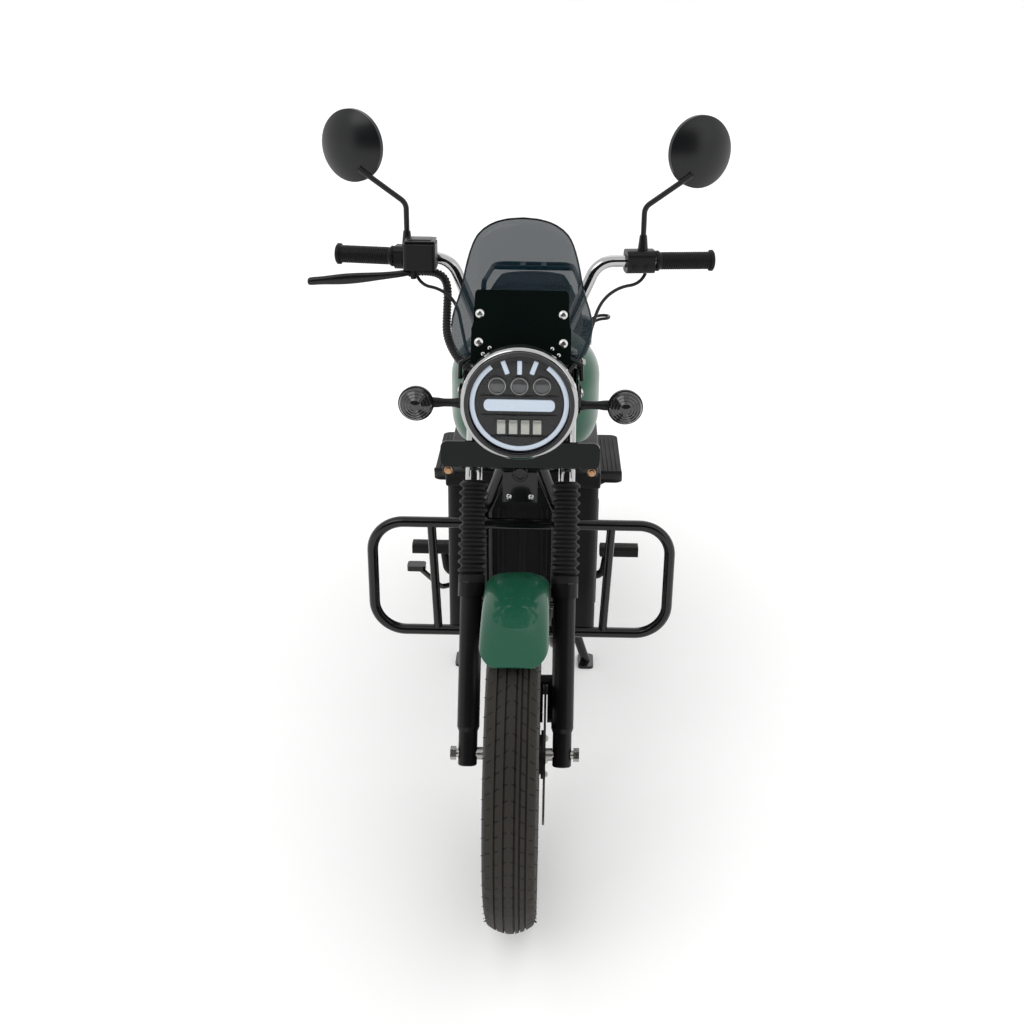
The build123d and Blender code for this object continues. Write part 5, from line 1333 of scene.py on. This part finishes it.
def make_steering_bolts():
    """Bolts of the yokes, fork caps, lamp ears, stem, lower bracket and caliper."""
    form = bmesh.new()
    for side in SIDES:
        for along in (0.521, 0.700):
            hex_bolt(form, fork_spot(side * 0.108, along), X_AXIS * side, 0.006, 0.0045)
        top = fork_spot(side * LEG_X, 0.7180)
        lathe(form, [(0, 0.0155), (0.004, 0.0155), (0.006, 0.0135), (0.006, 0)], top, UP_FORK, 32)
        hex_bolt(form, fork_spot(side * LEG_X, 0.724), UP_FORK, 0.009, 0.004, False)
        dome_screw(form, spot(side * 0.1028, 0.170, LAMP.z), X_AXIS * side, 0.008, 0.004)
        dome_screw(form, spot(side * 0.020, 0.2058, LAMP.z - 0.209), -Y_AXIS, 0.0052, 0.0028)
    stem = fork_spot(0, 0.716, 0.054)
    hex_bolt(form, stem, UP_FORK, 0.013, 0.007)
    keep_piece(form, "steering_bolts", "steering", "screw_zinc")
    caliper = bmesh.new()
    for along in (0.068, 0.116):
        hex_bolt(caliper, fork_spot(0.0702, along, 0.056), X_AXIS, 0.006, 0.004)
    keep_piece(caliper, "caliper_bolts", "steering", "steel")


DISC_BOLTS = 5
DISC_BOLTS_R = 0.034
MOTOR_SCREWS = 12
MOTOR_SCREWS_R = 0.0935
VALVE_R = 0.190


def make_wheel_details():
    """The disc bolts, both valves and the hub motor's screws."""
    disc = bmesh.new()
    for index in range(DISC_BOLTS):
        angle = TURN * index / DISC_BOLTS + radians(18)
        arm = Vector((0, cos(angle), sin(angle)))
        centre = Vector((0.0540, FRONT_AXLE.y, FRONT_AXLE.z)) + arm * DISC_BOLTS_R
        hex_bolt(disc, centre, X_AXIS, 0.0048, 0.003)
    keep_piece(disc, "disc_bolts", "front_wheel", "steel")
    front = bmesh.new()
    rear = bmesh.new()
    for form, axle in ((front, FRONT_AXLE), (rear, REAR_AXLE)):
        lean = Vector((0.15, 0.2, -0.97)).normalized()
        foot = Vector((0, axle.y, axle.z)) + Vector((0, -0.2, 0.97)).normalized() * VALVE_R
        profile = [(0, 0.0058), (0.010, 0.0052), (0.012, 0.0035), (0.030, 0.0035), (0.031, 0.0045)]
        lathe(form, [*profile, (0.040, 0.0045), (0.041, 0)], foot, lean, 16)
    keep_piece(front, "front_valve", "front_wheel", "rubber_black")
    keep_piece(rear, "rear_valve", "rear_wheel", "rubber_black")
    motor = bmesh.new()
    for side in SIDES:
        for index in range(MOTOR_SCREWS):
            angle = TURN * index / MOTOR_SCREWS
            arm = Vector((0, cos(angle), sin(angle)))
            face = Vector((side * 0.0452, REAR_AXLE.y, REAR_AXLE.z)) + arm * MOTOR_SCREWS_R
            dome_screw(motor, face, X_AXIS * side, 0.0042, 0.0030)
    keep_piece(motor, "motor_screws", "rear_wheel", "steel")


def make_chassis_bolts():
    """Screws of the battery lid and bolts of the shocks and the swingarm."""
    form = bmesh.new()
    low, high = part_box("battery_box")
    for side in SIDES:
        for share in (0.1, 0.37, 0.63, 0.9):
            face = Vector((side * (high[0] + 0.0001), low[1] + share * (high[1] - low[1]), high[2] - 0.017))
            dome_screw(form, face, X_AXIS * side, 0.0050, 0.0030)
        hex_bolt(form, spot(side * SHOCK_BOLT_X, *SHOCK_HEAD), X_AXIS * side, 0.0075, 0.005)
        hex_bolt(form, spot(side * SHOCK_BOLT_X, *SHOCK_FOOT), X_AXIS * side, 0.0075, 0.005)
        hex_bolt(form, spot(side * 0.1075, 0.872, 0.335), X_AXIS * side, 0.0095, 0.006)
        for share in (0.2, 0.5, 0.8):
            face = Vector((side * (0.04 + 0.1 * share), low[1], high[2] - 0.017))
            dome_screw(form, face, -Y_AXIS, 0.0050, 0.0030)
    keep_piece(form, "chassis_bolts", "chassis", "screw_zinc")


DISPLAY_TILT = radians(40)


def make_instrument():
    """The display's dark glass in its raised bezel."""
    facing = Vector((0, sin(DISPLAY_TILT), cos(DISPLAY_TILT)))
    centre = spot(0, 0.300, 1.018) + facing * 0.016
    turn = Matrix.Rotation(-DISPLAY_TILT, 4, "X")
    glass = bmesh.new()
    block(glass, (0.118, 0.062, 0.0016), at(centre + facing * 0.0009) @ turn, 0.0006, 2)
    keep_piece(glass, "display_glass", "steering", "display")
    bezel = bmesh.new()
    for across, along, size in (
        (0, 0.0355, (0.134, 0.007, 0.005)), (0, -0.0355, (0.134, 0.007, 0.005)),
        (0.0635, 0, (0.007, 0.070, 0.005)), (-0.0635, 0, (0.007, 0.070, 0.005)),
    ):
        offset = Vector((across, along * cos(DISPLAY_TILT), -along * sin(DISPLAY_TILT)))
        block(bezel, size, at(centre + facing * 0.002 + offset) @ turn, 0.0016)
    keep_piece(bezel, "display_bezel", "steering", "plastic_black")


# Seat

# Rows of distance behind the front axle, half width, underside and top
SEAT_RINGS = [
    (0.872, 0.066, 0.776, 0.814), (0.900, 0.088, 0.770, 0.812), (0.960, 0.111, 0.764, 0.808),
    (1.040, 0.125, 0.763, 0.811), (1.120, 0.128, 0.764, 0.818), (1.200, 0.117, 0.770, 0.830),
    (1.260, 0.104, 0.779, 0.840), (1.330, 0.094, 0.790, 0.842), (1.390, 0.084, 0.802, 0.838),
]


CHANNELS = 6
CHANNEL_START = 1.010
CHANNEL_PITCH = 0.044
CHANNEL_HALF = 0.011
CHANNEL_DEPTH = 0.0035


def make_seat():
    """The padded seat: crowned vinyl over foam, with piping and sewn channels."""
    form = bmesh.new()
    loops = []
    for behind, half, low, high in SEAT_RINGS:
        tall = high - low
        around = [
            (-half * 0.80, low), (-half * 0.97, low + tall * 0.16), (-half, low + tall * 0.50),
            (-half * 0.93, low + tall * 0.84), (-half * 0.70, high - 0.001), (-half * 0.35, high + 0.002),
            (0, high + 0.003), (half * 0.35, high + 0.002), (half * 0.70, high - 0.001),
            (half * 0.93, low + tall * 0.84), (half, low + tall * 0.50), (half * 0.97, low + tall * 0.16),
            (half * 0.80, low), (0, low),
        ]
        verts = [form.verts.new(spot(x, behind, z)) for x, z in around]
        loops.append([form.edges.new(pair) for pair in zip(verts, verts[1:] + verts[:1])])
    for first, second in zip(loops, loops[1:]):
        bmesh.ops.bridge_loops(form, edges=first + second)
    for end in (loops[0], loops[-1]):
        made = bmesh.ops.contextual_create(form, geom=end)
        bmesh.ops.inset_region(form, faces=made["faces"], thickness=0.012, depth=0.004)
    bmesh.ops.subdivide_edges(form, edges=form.edges, cuts=1, use_grid_fill=True, smooth=0.5)
    bmesh.ops.subdivide_edges(form, edges=form.edges, cuts=1, use_grid_fill=True, smooth=0.3)
    channels = [CHANNEL_START + step * CHANNEL_PITCH for step in range(CHANNELS)]
    for vert in form.verts:
        behind = vert.co.y - FRONT_AXLE.y
        ring = min(SEAT_RINGS, key=lambda row: abs(row[0] - behind))
        near_top = vert.co.z > ring[3] - 0.012 and abs(vert.co.x) < ring[1] * 0.80
        gap = min(abs(behind - channel) for channel in channels)
        if near_top and gap < CHANNEL_HALF:
            vert.co.z -= CHANNEL_DEPTH * (1 - gap / CHANNEL_HALF)
    seat = keep_piece(form, "seat_vinyl", "chassis", "seat_cover", ("seat",), 60)
    smooth_surface(seat)
    piping = bmesh.new()
    radius = bpy.context.scene.motorcycle_sizes.seam_radius
    for side in SIDES:
        edge = [spot(side * half * 0.955, behind, low + (high - low) * 0.80)
                for behind, half, low, high in SEAT_RINGS]
        tube(piping, evenly(smooth_route(edge), 0.006), radius, 10)
    keep_piece(piping, "seat_piping", "chassis", "seat_cover")


def dress_frame():
    """Gives every shown node of the fixed frame the finish of its slot."""
    own = {"mirrors": "mirror_shell", "brake_disc": "disc_steel"}
    for row in frame["record"]["subparts"]:
        node = frame["nodes"][row["node"]]
        name = own.get(row["node"], row["material_slot"])
        if name == "tyre_black":
            name = row["node"]
        for holder in node.material_slots:
            holder.material = finish(name)


# Stage


def seen_ray(tree, low, high):
    """A socket with one value for rays that light and another for rays that show the surface."""
    path = node_of(tree, "ShaderNodeLightPath", (-900, -300))
    seen = node_of(tree, "ShaderNodeMath", (-700, -300), operation="MAXIMUM")
    clear = node_of(tree, "ShaderNodeMath", (-500, -300), operation="MAXIMUM")
    level = node_of(tree, "ShaderNodeMapRange", (-300, -300), To_Min=low, To_Max=high)
    wire(
        tree, (path, "Is Camera Ray", seen, 0), (path, "Is Glossy Ray", seen, 1),
        (seen, "Value", clear, 0), (path, "Is Transmission Ray", clear, 1),
        (clear, "Value", level, "Value"),
    )
    return level.outputs["Result"]


WORLD_LIGHT = 0.94
WORLD_SEEN = 1.0
FLOOR_GLOW = 0.12
# Rows of name, place, spread in degrees and strength
SUNS = (
    ("key", (-2.2, -2.6, 3.4), 36, 0.50),
    ("fill", (2.6, -2.2, 1.8), 50, 0.22),
    ("back", (0.4, 3.0, 3.2), 40, 0.22),
)
CAMERA_AT = (0.05, -2.448, 1.571)
CAMERA_PITCH = 22.06
CAMERA_ROLL = 1.05
LENS_MM = 42.8
SENSOR_MM = 36


def make_stage():
    """The pale floor, the soft lamps, the world, the dark studio wall and the camera."""
    scene = bpy.context.scene
    for name, colour, rough, size, matrix in (
        ("floor", (0.93, 0.93, 0.925, 1), 0.8, (160, 160), Matrix.Identity(4)),
        ("studio_wall", (0.012, 0.012, 0.013, 1), 0.9, (11.0, 5.0),
         at((0, -5.6, 2.95)) @ Matrix.Rotation(pi / 2, 4, "X")),
    ):
        form = bmesh.new()
        scale = Matrix.Diagonal((size[0], size[1], 1, 1))
        bmesh.ops.create_grid(form, x_segments=1, y_segments=1, size=0.5, matrix=matrix @ scale)
        mesh = bpy.data.meshes.new(name)
        form.to_mesh(mesh)
        form.free()
        part = bpy.data.objects.new(name, mesh)
        scene.collection.objects.link(part)
        paint = bpy.data.materials.new(name)
        paint.use_nodes = True
        shader = paint.node_tree.nodes["Principled BSDF"]
        shader.inputs["Base Color"].default_value = colour
        shader.inputs["Roughness"].default_value = rough
        shader.inputs["Specular IOR Level"].default_value = 0.1
        if name == "floor":
            shader.inputs["Emission Color"].default_value = (1, 1, 1, 1)
            glow = seen_ray(paint.node_tree, 0, FLOOR_GLOW)
            paint.node_tree.links.new(glow, shader.inputs["Emission Strength"])
        mesh.materials.append(paint)
        part.visible_diffuse = name == "floor"
        part.visible_shadow = name == "floor"
        part.visible_camera = name == "floor"

    world = bpy.data.worlds.new("studio")
    scene.world = world
    world.use_nodes = True
    tree = world.node_tree
    back = tree.nodes["Background"]
    tree.links.new(seen_ray(tree, WORLD_LIGHT, WORLD_SEEN), back.inputs["Strength"])
    back.inputs["Color"].default_value = (1, 1, 1, 1)

    for name, place, spread, level in SUNS:
        light = bpy.data.lights.new(name, "SUN")
        light.angle = radians(spread)
        light.energy = level
        holder = bpy.data.objects.new(name, light)
        holder.location = place
        holder.rotation_euler = (-Vector(place)).to_track_quat("-Z", "Y").to_euler()
        scene.collection.objects.link(holder)

    camera = bpy.data.cameras.new("camera")
    camera.lens = LENS_MM
    camera.sensor_width = SENSOR_MM
    camera.shift_x = -0.0355
    camera.shift_y = -0.0428
    holder = bpy.data.objects.new("camera", camera)
    scene.collection.objects.link(holder)
    holder.matrix_world = (
        at(CAMERA_AT)
        @ Matrix.Rotation(radians(90 - CAMERA_PITCH), 4, "X")
        @ Matrix.Rotation(radians(CAMERA_ROLL), 4, "Z")
    )
    scene.camera = holder
    scene.view_settings.view_transform = "Standard"


# Operators


class StepsInOrder:
    """Runs an operator's functions one after the other."""

    steps = ()

    def execute(self, context):
        for step in self.steps:
            step()
        return {"FINISHED"}


class MOTORCYCLE_OT_stage(StepsInOrder, bpy.types.Operator):
    """Builds the floor, lamps, world and camera"""

    bl_idname = "motorcycle.stage"
    bl_label = "Stage"
    steps = (make_stage,)


class MOTORCYCLE_OT_finishes(StepsInOrder, bpy.types.Operator):
    """Gives the fixed frame its finishes"""

    bl_idname = "motorcycle.finishes"
    bl_label = "Frame finishes"
    steps = (dress_frame,)


class MOTORCYCLE_OT_tyres(StepsInOrder, bpy.types.Operator):
    """Builds both tyres with their tread"""

    bl_idname = "motorcycle.tyres"
    bl_label = "Tyres"
    steps = (make_tyres,)


class MOTORCYCLE_OT_headlight(StepsInOrder, bpy.types.Operator):
    """Builds the forms inside the headlight"""

    bl_idname = "motorcycle.headlight"
    bl_label = "Headlight"
    steps = (make_headlight,)


class MOTORCYCLE_OT_indicators(StepsInOrder, bpy.types.Operator):
    """Builds the front indicators, the rear lenses and the rear plate"""

    bl_idname = "motorcycle.indicators"
    bl_label = "Indicators and tail lens"
    steps = (make_indicators, make_tail_lenses)


class MOTORCYCLE_OT_handlebar(StepsInOrder, bpy.types.Operator):
    """Builds the grips, controls, mirror glass and cables"""

    bl_idname = "motorcycle.handlebar"
    bl_label = "Handlebar fittings"
    steps = (make_grips, make_controls, make_mirror_glass, make_loom)


class MOTORCYCLE_OT_front_fittings(StepsInOrder, bpy.types.Operator):
    """Builds the screen, its plate, the small fittings and the front fender"""

    bl_idname = "motorcycle.front_fittings"
    bl_label = "Front fittings"
    steps = (
        make_screen, make_screen_fittings, make_plate_fittings, make_boss, make_instrument,
        make_front_fender,
    )


class MOTORCYCLE_OT_chassis(StepsInOrder, bpy.types.Operator):
    """Builds the side panels, the shocks, the ribs and the luggage hook"""

    bl_idname = "motorcycle.chassis"
    bl_label = "Chassis fittings"
    steps = (make_side_panels, make_shocks, make_chassis_forms)


class MOTORCYCLE_OT_bolts(StepsInOrder, bpy.types.Operator):
    """Builds the bolts, screws and valves"""

    bl_idname = "motorcycle.bolts"
    bl_label = "Bolts and valves"
    steps = (make_steering_bolts, make_wheel_details, make_chassis_bolts)


class MOTORCYCLE_OT_seat(StepsInOrder, bpy.types.Operator):
    """Builds the padded seat"""

    bl_idname = "motorcycle.seat"
    bl_label = "Seat"
    steps = (make_seat,)


class MOTORCYCLE_PT_sidebar(bpy.types.Panel):
    """Lists the pieces that can be built"""

    bl_idname = "MOTORCYCLE_PT_sidebar"
    bl_label = "Electric motorcycle"
    bl_space_type = "VIEW_3D"
    bl_region_type = "UI"
    bl_category = "Motorcycle"

    def draw(self, context):
        column = self.layout.column()
        for operator in OPERATORS:
            column.operator(operator.bl_idname)
        for name in MotorcycleColours.__annotations__:
            column.prop(context.scene.motorcycle_colours, name)
        for name in MotorcycleSizes.__annotations__:
            column.prop(context.scene.motorcycle_sizes, name)


OPERATORS = (
    MOTORCYCLE_OT_stage,
    MOTORCYCLE_OT_finishes,
    MOTORCYCLE_OT_tyres,
    MOTORCYCLE_OT_headlight,
    MOTORCYCLE_OT_indicators,
    MOTORCYCLE_OT_handlebar,
    MOTORCYCLE_OT_front_fittings,
    MOTORCYCLE_OT_chassis,
    MOTORCYCLE_OT_bolts,
    MOTORCYCLE_OT_seat,
)
CLASSES = (MotorcycleColours, MotorcycleSizes, *OPERATORS, MOTORCYCLE_PT_sidebar)


def register():
    """Adds the classes and their settings."""
    for item in CLASSES:
        bpy.utils.register_class(item)
    bpy.types.Scene.motorcycle_colours = bpy.props.PointerProperty(type=MotorcycleColours)
    bpy.types.Scene.motorcycle_sizes = bpy.props.PointerProperty(type=MotorcycleSizes)


def unregister():
    """Removes the classes and their settings."""
    del bpy.types.Scene.motorcycle_sizes
    del bpy.types.Scene.motorcycle_colours
    for item in reversed(CLASSES):
        bpy.utils.unregister_class(item)


def main():
    """Builds everything in order."""
    register()
    bpy.ops.motorcycle.stage()
    bpy.ops.motorcycle.finishes()
    bpy.ops.motorcycle.tyres()
    bpy.ops.motorcycle.headlight()
    bpy.ops.motorcycle.indicators()
    bpy.ops.motorcycle.handlebar()
    bpy.ops.motorcycle.front_fittings()
    bpy.ops.motorcycle.chassis()
    bpy.ops.motorcycle.bolts()
    bpy.ops.motorcycle.seat()


if __name__ == "__main__":
    main()
